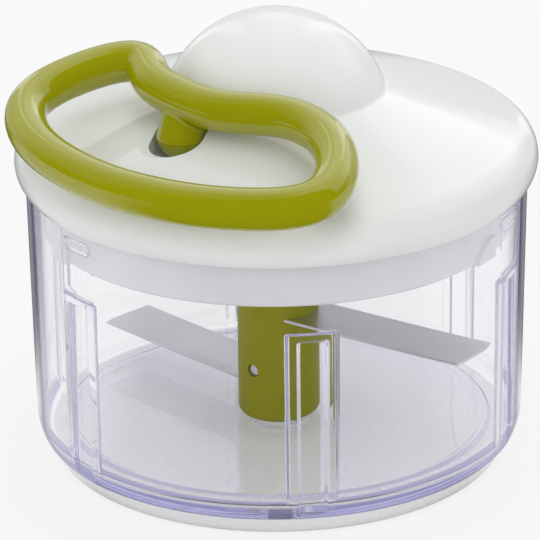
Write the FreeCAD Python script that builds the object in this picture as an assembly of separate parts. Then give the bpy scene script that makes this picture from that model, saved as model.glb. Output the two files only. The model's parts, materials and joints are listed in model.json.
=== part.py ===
"""Pull-cord food chopper: fluted clear bowl, domed lid with a kidney-shaped pull handle, two-blade unit.

Millimetres, +Z up. The origin is the bowl's axis at the surface that the base stands on.
-Y is the front. An azimuth is measured from the front towards +X, seen from above.
"""
import FreeCAD, Part
import math
import os
from FreeCAD import Placement, Rotation, Vector

os.makedirs("parts", exist_ok=True)

# --- Bowl ---------------------------------------------------------------------------------------
BOWL_TOP_R = 62.4          # outer radius at the rim
BOWL_LEAN = 1.2            # the wall leans in by this on its way down to the bottom corner
BOWL_RIM_Z = 74.4
BOWL_WALL = 1.9
FLOOR_Z = 8.0              # top of the floor
BOTTOM_Z = 4.6             # underside of the floor
CORNER_H = 6.7             # height of the rounded bottom corner
CORNER_R = 3.2             # how far the corner turns in
FLOOR_BEAD_IN = 9.2        # from the wall's foot to the ring bead round the flat floor
FLOOR_BEAD_H = 0.6
GUTTER_DROP = 0.3          # the gutter outside the bead lies this far below the floor

# --- Flutes pressed into the bowl's wall ----------------------------------------------------------
FLUTE_COUNT = 6
FLUTE_AZIMUTH = 7.5        # the first flute
FLUTE_TOP_Z = 54.4
FLUTE_RIB_W = 12.2         # the rib that a flute makes inside the wall
FLUTE_GROOVE_W = 6.6       # the groove outside
FLUTE_DEPTH = 1.0          # depth of the groove at the foot of the wall
FLUTE_WALL = 1.4
FLUTE_ROUND = 0.6

# --- Bayonet --------------------------------------------------------------------------------------
LUG_COUNT = 3
LUG_LENGTH = 10.0
LUG_H = 2.6
LUG_Z = 68.4
LUG_DEPTH = 1.35
PAD_PROUD = 1.3            # how far a lid pad stands out of the skirt
PAD_SPAN = 7.8             # degrees
PAD_LUG_GAP = 1.3          # degrees between pad and lug with the lid unlocked
PAD_UNDER_LUG = 0.4        # height left between them when locked

# --- Base foot ------------------------------------------------------------------------------------
FOOT_IN = 0.1              # the foot stands this far inside the bowl's flat underside
FOOT_LEAN = 1.5
FOOT_RING_W = 6.5
FOOT_RECESS = 1.2          # the underside is hollowed by this between ring and centre pad
FOOT_CENTRE_R = 10.0

# --- Spindle and hub --------------------------------------------------------------------------------
SPINDLE_R = 3.0
SPINDLE_TOP_Z = 43.5
SPINDLE_SOCKET_Z = 3.0
SPINDLE_BOSS_R = 8.0
SPINDLE_BOSS_Z = 2.0
RUN_GAP = 0.05             # radial running clearance of every shaft
SEAT_GAP = 0.05            # radial clearance of pieces seated on each other
STACK_GAP = 0.1            # height left between a turning face and its thrust face
HUB_R = 10.25
HUB_CORE_R = 6.6
HUB_BORE_R = 4.0
HUB_TOP_Z = 59.8
HUB_SEAM_Z = 27.6          # between the two spacers
HUB_EDGE_ROUND = 1.8
WASHER_R = 7.5
WASHER_H = 0.5
CROSS_PIN_R = 1.35
CROSS_PIN_Z = 22.4
CROSS_PIN_AZIMUTH = -40.0
CROSS_PIN_RECESS = 0.7
BUSH_LENGTH = 7.0

# --- Blades -----------------------------------------------------------------------------------------
BLADE_T = 0.7
BLADE_W = 15.0
BLADE_EDGE = 0.2           # thickness left at the ground edge
BLADE_GAP = 0.8            # between the blades' tips and the ribs
BLADE_BEVEL = 2.6
UPPER_BLADE_Z = 36.9       # mid-plane of the upper blade
LOWER_BLADE_Z = 17.4
UPPER_BLADE_DEG = -34.7    # direction of the blade, from +X
LOWER_BLADE_DEG = 133.7

# --- Lid --------------------------------------------------------------------------------------------
LID_OVERHANG = 2.6         # the lid's widest ring stands this far outside the bowl's rim
LID_WALL = 2.2
LID_LIP_Z = 72.8           # lower edge of the lid's lip
RIM_Z = 77.3               # height of the widest ring
RIM_ROUND = 7.25
CONE_DEG = 19.0
DOME_R = 28.95
DOME_CENTRE_Z = 85.5
CREASE_ROUND = 1.2         # rounding where dome and cone meet
SKIRT_IN = 2.3             # between the bowl's inner wall and the skirt
SKIRT_WALL = 2.0
SKIRT_LOW_Z = 60.87
CHANNEL_ROOF_Z = 76.2      # underside of the flange over the bowl's rim
FLANGE_T = 2.0
FLANGE_GAP = 0.3
DECK_Z = 66.0              # plate across the skirt
DECK_T = 2.0
SEAL_GAP = 0.15
SEAL_CLEAR = 0.4

# --- Handle and its pocket ----------------------------------------------------------------------------
TUBE_R = 5.15
HANDLE_RISE = 5.35         # on the lid's axis, from the tip of the lid's cone up to the handle's plane
HANDLE_TILT = 16.7         # degrees that the plane falls towards the handle's azimuth
HANDLE_AZIMUTH = -28.0
# Centre line of the kidney in its own plane: u is level, v runs down the slope from the side at the dome.
KIDNEY = [
    (-25.6, -12.2), (-20.6, -7.6), (-12.0, -3.0), (2.7, 0.0), (18.1, -1.8), (38.0, 8.9), (41.2, 25.6),
    (27.1, 33.3), (10.7, 35.6), (-8.4, 34.5), (-25.5, 29.5), (-39.1, 20.8), (-44.8, 11.7), (-39.2, -4.3),
]
DOME_GAP = 0.3             # level gap between the tube and the dome's widest ring
POST_U = -8.8              # the post's place in the same plane
POST_V = -1.1
POST_R = 6.4
POST_SEAM_Z = 91.2
POST_NECK_R = 5.8          # the post narrows to this where it meets the tube
PLUG_TIP_R = 3.8
PLUG_SWELL = 0.9           # the plug bulges to within this of the post's radius, at half its height
PLUG_LIFT = 0.3            # the plug's tip rests this far above the eyelet
POCKET_GAP = 0.5           # between post and pocket wall
POCKET_WALL = 1.8
POCKET_FLOOR_Z = 85.8
POCKET_FLOOR_T = 1.6
POCKET_STRETCH = 3.6       # the pocket is drawn out by this to one side of the post
POCKET_AZIMUTH = -19.5     # towards this azimuth
SCOOP_R = 8.9              # shallow round dip in the cone at the pocket's mouth
SCOOP_DEPTH = 1.2
SCOOP_OUT = 3.3            # the dip's centre lies this far outside the post's axis
SCOOP_RISE = 0.6           # the dip is cut to this height over the cone

# --- Cord, reel and spring ----------------------------------------------------------------------------
CORD_R = 0.9
CORD_Z = 80.6              # level at which the cord leaves the reel
CORD_TURNS_WIDE = 3
CORD_LAYERS = 2
CORD_BEND_R = 3.0
LEAD_GAP = 0.3             # between the wound turns and the cord that leaves them
EYELET_R = 2.5
EYELET_FLANGE_R = 3.6
EYELET_FLANGE_T = 0.5
KNOT_R = 2.3
DRUM_R = 17.0
FLANGE_REEL_R = 23.5
REEL_FLANGE_T = 1.2
AXLE_R = 3.0
ARBOR_R = 5.2
AXLE_BOSS_R = 5.6
AXLE_BOSS_Z = 104.0
AXLE_LOW_Z = 71.0
SPRING_TUBE_R = 22.4
SPRING_TUBE_WALL = 1.4
SPRING_PLATE_T = 1.2
SPRING_H = 7.0
SPRING_BAND = 0.6
SPRING_TURNS = 6
SPRING_IN_R = 6.0
SPRING_CLEAR = 0.4

# --- Drive ----------------------------------------------------------------------------------------------
SHAFT_R = 4.0
BUSH_WALL = 2.0
DECK_BOSS_WALL = 3.2
DECK_BOSS_UP = 3.4
DECK_BOSS_DOWN = 2.6
RATCHET_R = 11.5
RATCHET_TOOTH = 1.7
RATCHET_TEETH = 12
RATCHET_T = 3.0
PAWL_PIN_R = 1.3
PAWL_ORBIT_R = 15.4
PAWL_T = 2.6
PAWL_HEAD_R = 2.6
DOG_R = 7.2
DOG_SPAN = 24.0            # degrees
DOG_H = 8.0
SOCKET_LUG_SPAN = 30.0
SOCKET_GAP = 0.5
SOCKET_DEPTH = 11.0

# --- Screws that hold the skirt to the lid ------------------------------------------------------------------
SCREW_COUNT = 3
SCREW_IN = 11.2            # from the skirt's outside in to the screws
SCREW_AZIMUTH = 120.0
SCREW_R = 1.5
SCREW_HEAD_R = 2.8
SCREW_HEAD_H = 1.8
SCREW_LENGTH = 10.0
SCREW_BOSS_R = 3.6

# --- Worked out from the above --------------------------------------------------------------------------
BOWL_LOW_R = BOWL_TOP_R - BOWL_LEAN                    # outer radius where the wall meets the corner
BOWL_TAPER = BOWL_LEAN / (BOWL_RIM_Z - BOTTOM_Z - CORNER_H)
BOWL_IN_R = BOWL_TOP_R - BOWL_WALL                     # inside radius at the rim
GROOVE_FACE_R = BOWL_LOW_R - FLUTE_DEPTH
RIB_FACE_R = GROOVE_FACE_R - FLUTE_WALL
BLADE_TIP_R = RIB_FACE_R - BLADE_GAP
FLOOR_BEAD_R = BOWL_LOW_R - FLOOR_BEAD_IN
FOOT_TOP_R = BOWL_LOW_R - CORNER_R - FOOT_IN
FOOT_LOW_R = FOOT_TOP_R - FOOT_LEAN
LID_R = BOWL_TOP_R + LID_OVERHANG
SKIRT_R = BOWL_IN_R - SKIRT_IN
SCREW_ORBIT_R = SKIRT_R - SCREW_IN
CHANNEL_R = LID_R - LID_WALL                           # inside of the lid's lip
CONE = math.radians(CONE_DEG)
BLADE_RING_R = (HUB_R + HUB_CORE_R) / 2                # rings of the blades, let into the hub
POCKET_R = POST_R + POCKET_GAP
SPRING_FLOOR_Z = POCKET_FLOOR_Z + SPRING_PLATE_T       # top of the plate under the spring
DRUM_H = 2 * CORD_R * CORD_TURNS_WIDE + 2 * RUN_GAP
DRUM_LOW_Z = CORD_Z - DRUM_H / 2
REEL_LOW_Z = DRUM_LOW_Z - REEL_FLANGE_T
REEL_TOP_Z = DRUM_LOW_Z + DRUM_H + REEL_FLANGE_T
WOUND_R = DRUM_R + 2 * CORD_R * CORD_LAYERS            # outside of the wound cord
LEAD_R = WOUND_R + LEAD_GAP + CORD_R                   # the lead runs clear of the turning reel
RATCHET_TOP_Z = REEL_LOW_Z - 1.2
RATCHET_LOW_Z = RATCHET_TOP_Z - RATCHET_T
WASHER_TOP_Z = FLOOR_Z + WASHER_H
HUB_LOW_Z = WASHER_TOP_Z + STACK_GAP
SOCKET_R = DOG_R + SOCKET_GAP
DECK_BOSS_R = SHAFT_R + BUSH_WALL + DECK_BOSS_WALL
Z_AXIS = Vector(0, 0, 1)


def spot(radius, azimuth, z=0.0):
    """Point at a radius and azimuth."""
    a = math.radians(azimuth)
    return Vector(radius * math.sin(a), -radius * math.cos(a), z)


def turned(start, *steps):
    """Solid of revolution about Z. A step is the next (r, z), or a (middle, end) pair for an arc."""
    edges = []
    here = start
    for step in steps + (start,):
        if isinstance(step[0], tuple):
            middle, end = step
            arc = Part.Arc(*(Vector(r, 0, z) for r, z in (here, middle, end)))
            edges.append(arc.toShape())
        else:
            end = step
            if math.dist(here, end) > 1e-6:
                edges.append(Part.makeLine(Vector(here[0], 0, here[1]), Vector(end[0], 0, end[1])))
        here = end
    solid = Part.Face(Part.Wire(edges)).revolve(Vector(0, 0, 0), Z_AXIS, 360)
    return Part.Solid(solid.Shells[0]) if solid.ShapeType != "Solid" else solid


def tube(outer, inner, low, high):
    """Upright ring or sleeve about Z."""
    return turned((inner, low), (outer, low), (outer, high), (inner, high))


def rod(radius, low, high, x=0.0, y=0.0):
    """Upright cylinder."""
    return Part.makeCylinder(radius, high - low, Vector(x, y, low))


def wedge(radius, span, low, high, middle=0.0):
    """Sector of a disc, its span in degrees, centred on a direction from +X."""
    sector = Part.makeCylinder(radius, high - low, Vector(0, 0, low), Z_AXIS, span)
    sector.rotate(Vector(0, 0, 0), Z_AXIS, middle - span / 2)
    return sector


def at_azimuth(shape, azimuth):
    """Copy of a shape made at the front, turned to an azimuth."""
    copy = shape.copy()
    copy.rotate(Vector(0, 0, 0), Z_AXIS, azimuth)
    return copy


def ring_of(shape, count, first=0.0):
    """Copies of a shape made at the front, evenly spaced round Z."""
    return [at_azimuth(shape, first + 360.0 * k / count) for k in range(count)]


def bowl_outer_r(z):
    return BOWL_TOP_R - BOWL_TAPER * (BOWL_RIM_Z - z)


def crease(inset):
    """Where the dome meets the cone, on the skin that lies an inset inside the lid's surface."""
    r_t, z_t = cone_start(inset)
    slope = math.tan(CONE)
    # z = z_t + (r_t - r) * slope meets r^2 + (z - DOME_CENTRE_Z)^2 = (DOME_R - inset)^2
    height = z_t + r_t * slope - DOME_CENTRE_Z
    a = 1 + slope ** 2
    b = -2 * slope * height
    c = height ** 2 - (DOME_R - inset) ** 2
    r = (-b + math.sqrt(b * b - 4 * a * c)) / (2 * a)
    return r, DOME_CENTRE_Z + height - slope * r


def cone_start(inset):
    """Where the rim's rounding runs into the cone."""
    reach = RIM_ROUND - inset
    return LID_R - RIM_ROUND + reach * math.sin(CONE), RIM_Z + reach * math.cos(CONE)


def cone_z(r):
    """Height of the lid's conical surface."""
    r_t, z_t = cone_start(0)
    return z_t + (r_t - r) * math.tan(CONE)


def lid_skin(inset):
    """Steps of the lid's profile from the widest ring up to the apex."""
    reach = RIM_ROUND - inset
    bend = math.radians(45 - CONE_DEG / 2)
    bend_middle = (LID_R - RIM_ROUND + reach * math.cos(bend), RIM_Z + reach * math.sin(bend))
    r_c, z_c = crease(inset)
    dome = DOME_R - inset
    half = math.atan2(z_c - DOME_CENTRE_Z, r_c) / 2 + math.pi / 4
    dome_middle = (dome * math.cos(half), DOME_CENTRE_Z + dome * math.sin(half))
    return [(bend_middle, cone_start(inset)), (r_c, z_c), (dome_middle, (0, DOME_CENTRE_Z + dome))]


def handle_point(u, v):
    """Point of the handle's tilted plane."""
    azimuth = math.radians(HANDLE_AZIMUTH)
    tilt = math.radians(HANDLE_TILT)
    level = Vector(math.cos(azimuth), math.sin(azimuth), 0)
    down = Vector(math.sin(azimuth) * math.cos(tilt), -math.cos(azimuth) * math.cos(tilt), -math.sin(tilt))
    nest = DOME_R + DOME_GAP + TUBE_R
    return Vector(0, 0, cone_z(0) + HANDLE_RISE) + level * u + down * (nest + v)


POST = handle_point(POST_U, POST_V)                    # where the post's axis meets the handle's plane
POST_ORBIT_R = math.hypot(POST.x, POST.y)


# --- Bowl body ----------------------------------------------------------------------------------------

def make_bowl():
    corner_z = BOTTOM_Z + CORNER_H
    low_in_r = BOWL_LOW_R - BOWL_WALL + 0.5
    gutter_z = FLOOR_Z - GUTTER_DROP
    bowl = turned(
        (0, SPINDLE_BOSS_Z), (SPINDLE_BOSS_R, SPINDLE_BOSS_Z), (SPINDLE_BOSS_R, BOTTOM_Z),
        (BOWL_LOW_R - CORNER_R, BOTTOM_Z),
        ((BOWL_LOW_R - 0.28 * CORNER_R, BOTTOM_Z + 0.42 * CORNER_H), (BOWL_LOW_R, corner_z)),
        (BOWL_TOP_R, BOWL_RIM_Z), (BOWL_IN_R, BOWL_RIM_Z), (low_in_r, corner_z + 1.0),
        ((low_in_r - 1.1, gutter_z + 1.4), (low_in_r - 4.0, gutter_z)),
        (FLOOR_BEAD_R + 1.4, gutter_z), (FLOOR_BEAD_R + 0.5, FLOOR_Z + FLOOR_BEAD_H),
        (FLOOR_BEAD_R - 0.5, FLOOR_Z + FLOOR_BEAD_H), (FLOOR_BEAD_R - 1.1, FLOOR_Z), (0, FLOOR_Z),
    )
    rim = [e for e in bowl.Edges if e.BoundBox.ZMin > BOWL_RIM_Z - 0.01]
    bowl = bowl.makeFillet(BOWL_WALL * 0.35, rim)
    for rib in ring_of(flute_rib(), FLUTE_COUNT, FLUTE_AZIMUTH):
        bowl = bowl.fuse(rib)
    for groove in ring_of(flute_groove(), FLUTE_COUNT, FLUTE_AZIMUTH):
        bowl = bowl.cut(groove)
    for lug in ring_of(bayonet_lug(), LUG_COUNT, FLUTE_AZIMUTH + 60):
        bowl = bowl.fuse(lug)
    return bowl.cut(rod(SPINDLE_R + SEAT_GAP, SPINDLE_SOCKET_Z, FLOOR_Z + 1))


def front_block(width, near_r, far_r, low, high):
    """Block across the front, between two radii."""
    return Part.makeBox(width, far_r - near_r, high - low, Vector(-width / 2, -far_r, low))


def flute_rib():
    """Rib inside the wall, its inner face just clear of the blades, with rounded edges."""
    back_r = bowl_outer_r(FLUTE_TOP_Z) - 1.0
    rib = front_block(FLUTE_RIB_W, RIB_FACE_R, back_r, FLOOR_Z - 0.5, FLUTE_TOP_Z)
    inner = [e for e in rib.Edges if e.BoundBox.YMin > -RIB_FACE_R - 0.01 and e.BoundBox.ZMax > FLOOR_Z + 1]
    rib = rib.makeFillet(FLUTE_ROUND, inner)
    return rib.common(rod(bowl_outer_r(FLOOR_Z) - 0.7, 0, FLUTE_TOP_Z + 1))


def flute_groove():
    """Groove outside the wall, one flute wall behind the rib's face, open at the bottom corner."""
    top = FLUTE_TOP_Z - FLUTE_WALL - 0.4
    groove = front_block(FLUTE_GROOVE_W, GROOVE_FACE_R, BOWL_TOP_R + 2, BOTTOM_Z - 2, top)
    inner = [e for e in groove.Edges if e.BoundBox.YMin > -GROOVE_FACE_R - 0.01 and e.BoundBox.ZMax > FLOOR_Z]
    return groove.makeFillet(FLUTE_ROUND, inner)


def bayonet_lug():
    """Flat lug with round ends on the bowl's inner wall."""
    near_r = bowl_outer_r(LUG_Z) - BOWL_WALL - LUG_DEPTH
    straight = LUG_LENGTH - LUG_H
    lug = front_block(straight, near_r, BOWL_TOP_R, LUG_Z - LUG_H / 2, LUG_Z + LUG_H / 2)
    for side in (-1, 1):
        end = Part.makeCylinder(LUG_H / 2, BOWL_TOP_R - near_r,
                                Vector(side * straight / 2, -BOWL_TOP_R, LUG_Z), Vector(0, 1, 0))
        lug = lug.fuse(end)
    return lug.removeSplitter().common(rod(bowl_outer_r(LUG_Z) - 0.5, 0, BOWL_RIM_Z))


def make_base_foot():
    ring_in_r = FOOT_LOW_R - FOOT_RING_W
    foot = turned(
        (0, 0), (FOOT_CENTRE_R, 0), (FOOT_CENTRE_R + 1, FOOT_RECESS), (ring_in_r - 1, FOOT_RECESS),
        (ring_in_r, 0), (FOOT_LOW_R - 1, 0),
        ((FOOT_LOW_R + 0.1, 0.6), (FOOT_LOW_R + 0.8, 2.0)), (FOOT_TOP_R, BOTTOM_Z), (0, BOTTOM_Z),
    )
    return foot.cut(rod(SPINDLE_BOSS_R + SEAT_GAP, SPINDLE_BOSS_Z, BOTTOM_Z + 1))


def make_bowl_spindle():
    tip = 1.0
    return turned((0, SPINDLE_SOCKET_Z), (SPINDLE_R, SPINDLE_SOCKET_Z), (SPINDLE_R, SPINDLE_TOP_Z - tip),
                  (SPINDLE_R - tip, SPINDLE_TOP_Z), (0, SPINDLE_TOP_Z))


def make_thrust_washer():
    return tube(WASHER_R, SPINDLE_R + SEAT_GAP, FLOOR_Z, WASHER_TOP_Z)


# --- Blade unit ---------------------------------------------------------------------------------------

def hub_ring(low, high):
    """Slice of the hub round its core."""
    return tube(HUB_R, HUB_CORE_R + SEAT_GAP, low, high)


def blade_seat(z, degrees):
    """Room for a blade's ring and strip, open at the top, that hides the ring inside the hub."""
    low = z - BLADE_T / 2
    half = BLADE_W / 2 + SEAT_GAP
    slot = Part.makeBox(HUB_R + 1, 2 * half, BLADE_T + 1, Vector(0, -half, low))
    slot.rotate(Vector(0, 0, 0), Z_AXIS, degrees)
    return slot.fuse(rod(BLADE_RING_R + SEAT_GAP, low, low + BLADE_T + 1))


def make_hub_base():
    base = hub_ring(HUB_LOW_Z, LOWER_BLADE_Z + BLADE_T / 2)
    edge = [e for e in base.Edges if e.BoundBox.ZMax < HUB_LOW_Z + 0.01 and e.BoundBox.XLength > 2 * HUB_R - 1]
    return base.makeFillet(HUB_EDGE_ROUND, edge).cut(blade_seat(LOWER_BLADE_Z, LOWER_BLADE_DEG))


def make_hub_spacer_lower():
    spacer = hub_ring(LOWER_BLADE_Z + BLADE_T / 2, HUB_SEAM_Z)
    return spacer.cut(cross_hole(CROSS_PIN_R + 0.3, HUB_R - 1.6, HUB_R + 1)).cut(
        cross_hole(CROSS_PIN_R + SEAT_GAP, HUB_BORE_R, HUB_R))


def make_hub_spacer_upper():
    spacer = hub_ring(HUB_SEAM_Z, UPPER_BLADE_Z + BLADE_T / 2)
    return spacer.cut(blade_seat(UPPER_BLADE_Z, UPPER_BLADE_DEG))


def make_hub_collar():
    """Top of the hub: it caps the core and opens upwards in a socket with three lugs for the drive."""
    low = UPPER_BLADE_Z + BLADE_T / 2
    core_top = SPINDLE_TOP_Z + 1.5
    socket_floor = HUB_TOP_Z - SOCKET_DEPTH
    collar = rod(HUB_R, low, HUB_TOP_Z)
    collar = collar.cut(rod(HUB_CORE_R + SEAT_GAP, low - 1, core_top + SEAT_GAP))
    socket = rod(SOCKET_R, socket_floor, HUB_TOP_Z + 1)
    for k in range(3):
        socket = socket.cut(wedge(SOCKET_R + 1, SOCKET_LUG_SPAN, socket_floor, HUB_TOP_Z - 1, 60 + 120 * k))
    return collar.cut(socket.fuse(rod(SHAFT_R + SOCKET_GAP, socket_floor, HUB_TOP_Z)))


def make_hub_core():
    core = tube(HUB_CORE_R, HUB_BORE_R, HUB_LOW_Z, SPINDLE_TOP_Z + 1.5)
    return core.cut(cross_hole(CROSS_PIN_R + SEAT_GAP, 0, HUB_R))


def make_hub_bush(low):
    return tube(HUB_BORE_R - SEAT_GAP, SPINDLE_R + RUN_GAP, low, low + BUSH_LENGTH)


def cross_hole(radius, near_r, far_r):
    """Radial cylinder at the cross pin's place."""
    direction = spot(1, CROSS_PIN_AZIMUTH)
    return Part.makeCylinder(radius, far_r - near_r, direction * near_r + Vector(0, 0, CROSS_PIN_Z), direction)


def make_hub_cross_pin():
    return cross_hole(CROSS_PIN_R, HUB_BORE_R + 0.2, HUB_R - CROSS_PIN_RECESS)


def make_blade(z, degrees, round_tip, ground_side):
    """Flat strip along +X with a ring round the hub's core, ground to a bevel on top (1) or below (-1)."""
    low = z - BLADE_T / 2
    reach = BLADE_TIP_R
    half = BLADE_W / 2
    strip = Part.makeBox(reach, BLADE_W, BLADE_T, Vector(0, -half, low))
    if round_tip:
        strip = strip.common(rod(reach, low, low + BLADE_T))
    else:
        square_end = math.sqrt(reach ** 2 - half ** 2)
        strip = strip.common(Part.makeBox(square_end, BLADE_W, BLADE_T, Vector(0, -half, low)))
    start = HUB_R + 0.6
    ground_face = z + ground_side * BLADE_T / 2
    edge_face = ground_face - ground_side * (BLADE_T - BLADE_EDGE)
    beyond = ground_face + ground_side
    bevel = Part.Face(Part.makePolygon([
        Vector(start, half + 1, beyond), Vector(start, half - BLADE_BEVEL, beyond),
        Vector(start, half - BLADE_BEVEL, ground_face), Vector(start, half, edge_face),
        Vector(start, half + 1, edge_face), Vector(start, half + 1, beyond),
    ])).extrude(Vector(reach, 0, 0))
    blade = strip.cut(bevel).fuse(rod(BLADE_RING_R, low, low + BLADE_T))
    blade = blade.cut(rod(HUB_CORE_R + SEAT_GAP, low - 1, low + BLADE_T + 1)).removeSplitter()
    blade.rotate(Vector(0, 0, 0), Z_AXIS, degrees)
    return blade


# --- Lid body -------------------------------------------------------------------------------------------

def make_lid_cover():
    """Domed shell with the handle's pocket, the spring's tube, the axle's boss and three screw bosses."""
    widest = (LID_R, RIM_Z)
    lip_out = (CHANNEL_R + 0.4, LID_LIP_Z)
    under = (LID_R - 0.55, LID_LIP_Z + 0.45 * (RIM_Z - LID_LIP_Z))
    block = turned((0, LID_LIP_Z), lip_out, (under, widest), *lid_skin(0))
    crease_r, crease_z = crease(0)
    fold = [e for e in block.Edges if abs(e.BoundBox.ZMax - crease_z) < 0.01
            and abs(e.BoundBox.XMax - crease_r) < 0.01 and e.BoundBox.ZLength < 0.01]
    block = block.makeFillet(CREASE_ROUND, fold)
    block = block.cut(pocket_hole())
    hollow = turned((0, LID_LIP_Z - 1), (CHANNEL_R, LID_LIP_Z - 1), (CHANNEL_R, RIM_Z), *lid_skin(LID_WALL))
    for kept in lid_ribs():
        hollow = hollow.cut(kept)
    cover = block.cut(hollow)
    cover = cover.cut(rod(AXLE_R + 0.02, AXLE_BOSS_Z - 1, AXLE_BOSS_Z + 5))
    cover = cover.cut(rod(EYELET_R + SEAT_GAP, POCKET_FLOOR_Z - 5, POCKET_FLOOR_Z + 1, POST.x, POST.y))
    for place in screw_places():
        cover = cover.cut(rod(SCREW_R + SEAT_GAP, DECK_Z, DECK_Z + DECK_T + SCREW_LENGTH, place.x, place.y))
    return cover


def pocket_column(radius, low, high):
    """Upright column with the pocket's outline: round at the post and drawn out to one side."""
    far = POST + spot(POCKET_STRETCH, POCKET_AZIMUTH)
    middle = Part.makeBox(POCKET_STRETCH, 2 * radius, high - low, Vector(0, -radius, low))
    middle.rotate(Vector(0, 0, 0), Z_AXIS, POCKET_AZIMUTH - 90)
    middle.translate(Vector(POST.x, POST.y, 0))
    ends = [rod(radius, low, high, POST.x, POST.y), rod(radius, low, high, far.x, far.y)]
    return middle.fuse(ends).removeSplitter()


def pocket_hole():
    """Upright well for the handle's post, and the dip in the cone at its mouth."""
    return pocket_column(POCKET_R, POCKET_FLOOR_Z, POCKET_FLOOR_Z + 30).fuse(pocket_dip())


def pocket_dip():
    """Shallow slice of a ball, pressed square into the cone and kept off the dome's foot."""
    outward = Vector(POST.x, POST.y, 0).normalize()
    normal = outward * math.sin(CONE) + Z_AXIS * math.cos(CONE)
    centre = outward * (POST_ORBIT_R + SCOOP_OUT)
    centre.z = cone_z(POST_ORBIT_R + SCOOP_OUT)
    ball_r = (SCOOP_R ** 2 + SCOOP_DEPTH ** 2) / (2 * SCOOP_DEPTH)
    ball = Part.makeSphere(ball_r, centre + normal * (ball_r - SCOOP_DEPTH))
    slice_start = centre - normal * (2 * SCOOP_DEPTH)
    dip = ball.common(Part.makeCylinder(SCOOP_R, 2 * SCOOP_DEPTH + SCOOP_RISE, slice_start, normal))
    return dip.cut(Part.makeSphere(DOME_R + CREASE_ROUND, Vector(0, 0, DOME_CENTRE_Z)))


def lid_ribs():
    """What stands inside the lid: pocket cup, axle boss, spring tube and screw bosses."""
    top = DOME_CENTRE_Z + DOME_R
    cup = pocket_column(POCKET_R + POCKET_WALL, POCKET_FLOOR_Z - POCKET_FLOOR_T, top)
    boss = rod(AXLE_BOSS_R, AXLE_BOSS_Z, top)
    spring_tube = tube(SPRING_TUBE_R, SPRING_TUBE_R - SPRING_TUBE_WALL, SPRING_FLOOR_Z, top)
    screw_bosses = [rod(SCREW_BOSS_R, DECK_Z + DECK_T, top, p.x, p.y) for p in screw_places()]
    return [cup, boss, spring_tube] + screw_bosses


def screw_places():
    return [spot(SCREW_ORBIT_R, SCREW_AZIMUTH + 360.0 * k / SCREW_COUNT) for k in range(SCREW_COUNT)]


def make_lid_screw(place):
    head = rod(SCREW_HEAD_R, DECK_Z - SCREW_HEAD_H, DECK_Z, place.x, place.y)
    head = head.makeFillet(0.6, [e for e in head.Edges if e.BoundBox.ZMax < DECK_Z - 1])
    return head.fuse(rod(SCREW_R, DECK_Z, DECK_Z + DECK_T + SCREW_LENGTH - 0.5, place.x, place.y))


def make_lid_skirt():
    """Under-cover: skirt inside the bowl, flange over its rim, deck with the drive's bearing, three pads."""
    inner = SKIRT_R - SKIRT_WALL
    bore = SHAFT_R + BUSH_WALL
    flange_r = CHANNEL_R - FLANGE_GAP
    skirt = turned(
        (SKIRT_R, SKIRT_LOW_Z + 0.6), (SKIRT_R, CHANNEL_ROOF_Z), (flange_r, CHANNEL_ROOF_Z),
        (flange_r, RIM_Z), (flange_r - 0.8, CHANNEL_ROOF_Z + FLANGE_T), (inner, CHANNEL_ROOF_Z + FLANGE_T),
        (inner, DECK_Z + DECK_T), (DECK_BOSS_R, DECK_Z + DECK_T), (DECK_BOSS_R, DECK_Z + DECK_BOSS_UP),
        (bore, DECK_Z + DECK_BOSS_UP), (bore, DECK_Z - DECK_BOSS_DOWN),
        (DECK_BOSS_R, DECK_Z - DECK_BOSS_DOWN), (DECK_BOSS_R, DECK_Z), (inner, DECK_Z),
        (inner, SKIRT_LOW_Z + 0.6), (inner + 0.6, SKIRT_LOW_Z), (SKIRT_R - 0.6, SKIRT_LOW_Z),
    )
    pad_azimuth = FLUTE_AZIMUTH + 60 - lug_half_angle() - PAD_LUG_GAP
    for pad in ring_of(bayonet_pad(), LUG_COUNT, pad_azimuth):
        skirt = skirt.fuse(pad)
    for place in screw_places():
        skirt = skirt.cut(rod(SCREW_R + SEAT_GAP, DECK_Z - 1, DECK_Z + DECK_T + 1, place.x, place.y))
    return skirt


def lug_half_angle():
    return math.degrees(math.asin(LUG_LENGTH / 2 / BOWL_IN_R))


def bayonet_pad():
    """Pad on the skirt that ends at the front, its upper edge a ramp that rises towards +X."""
    top = LUG_Z - LUG_H / 2 - PAD_UNDER_LUG
    ring = tube(SKIRT_R + PAD_PROUD, SKIRT_R - 0.5, SKIRT_LOW_Z + 0.3, top)
    sector = wedge(SKIRT_R + 5, PAD_SPAN, SKIRT_LOW_Z, top, -90 - PAD_SPAN / 2)
    run = SKIRT_R * math.radians(PAD_SPAN)
    drop = (run ** 2 - (top - SKIRT_LOW_Z) ** 2) / (2 * (top - SKIRT_LOW_Z))
    ramp_centre = Vector(0, 0, SKIRT_LOW_Z - drop)
    ramp = Part.makeCylinder(math.hypot(run, drop), 2 * SKIRT_R, ramp_centre, Vector(0, -1, 0))
    return ring.common(sector).common(ramp)


def make_lid_seal():
    outer = CHANNEL_R - FLANGE_GAP - SEAL_CLEAR
    return tube(outer, SKIRT_R + SEAL_CLEAR, BOWL_RIM_Z + SEAL_GAP, CHANNEL_ROOF_Z - SEAL_GAP)


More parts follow.
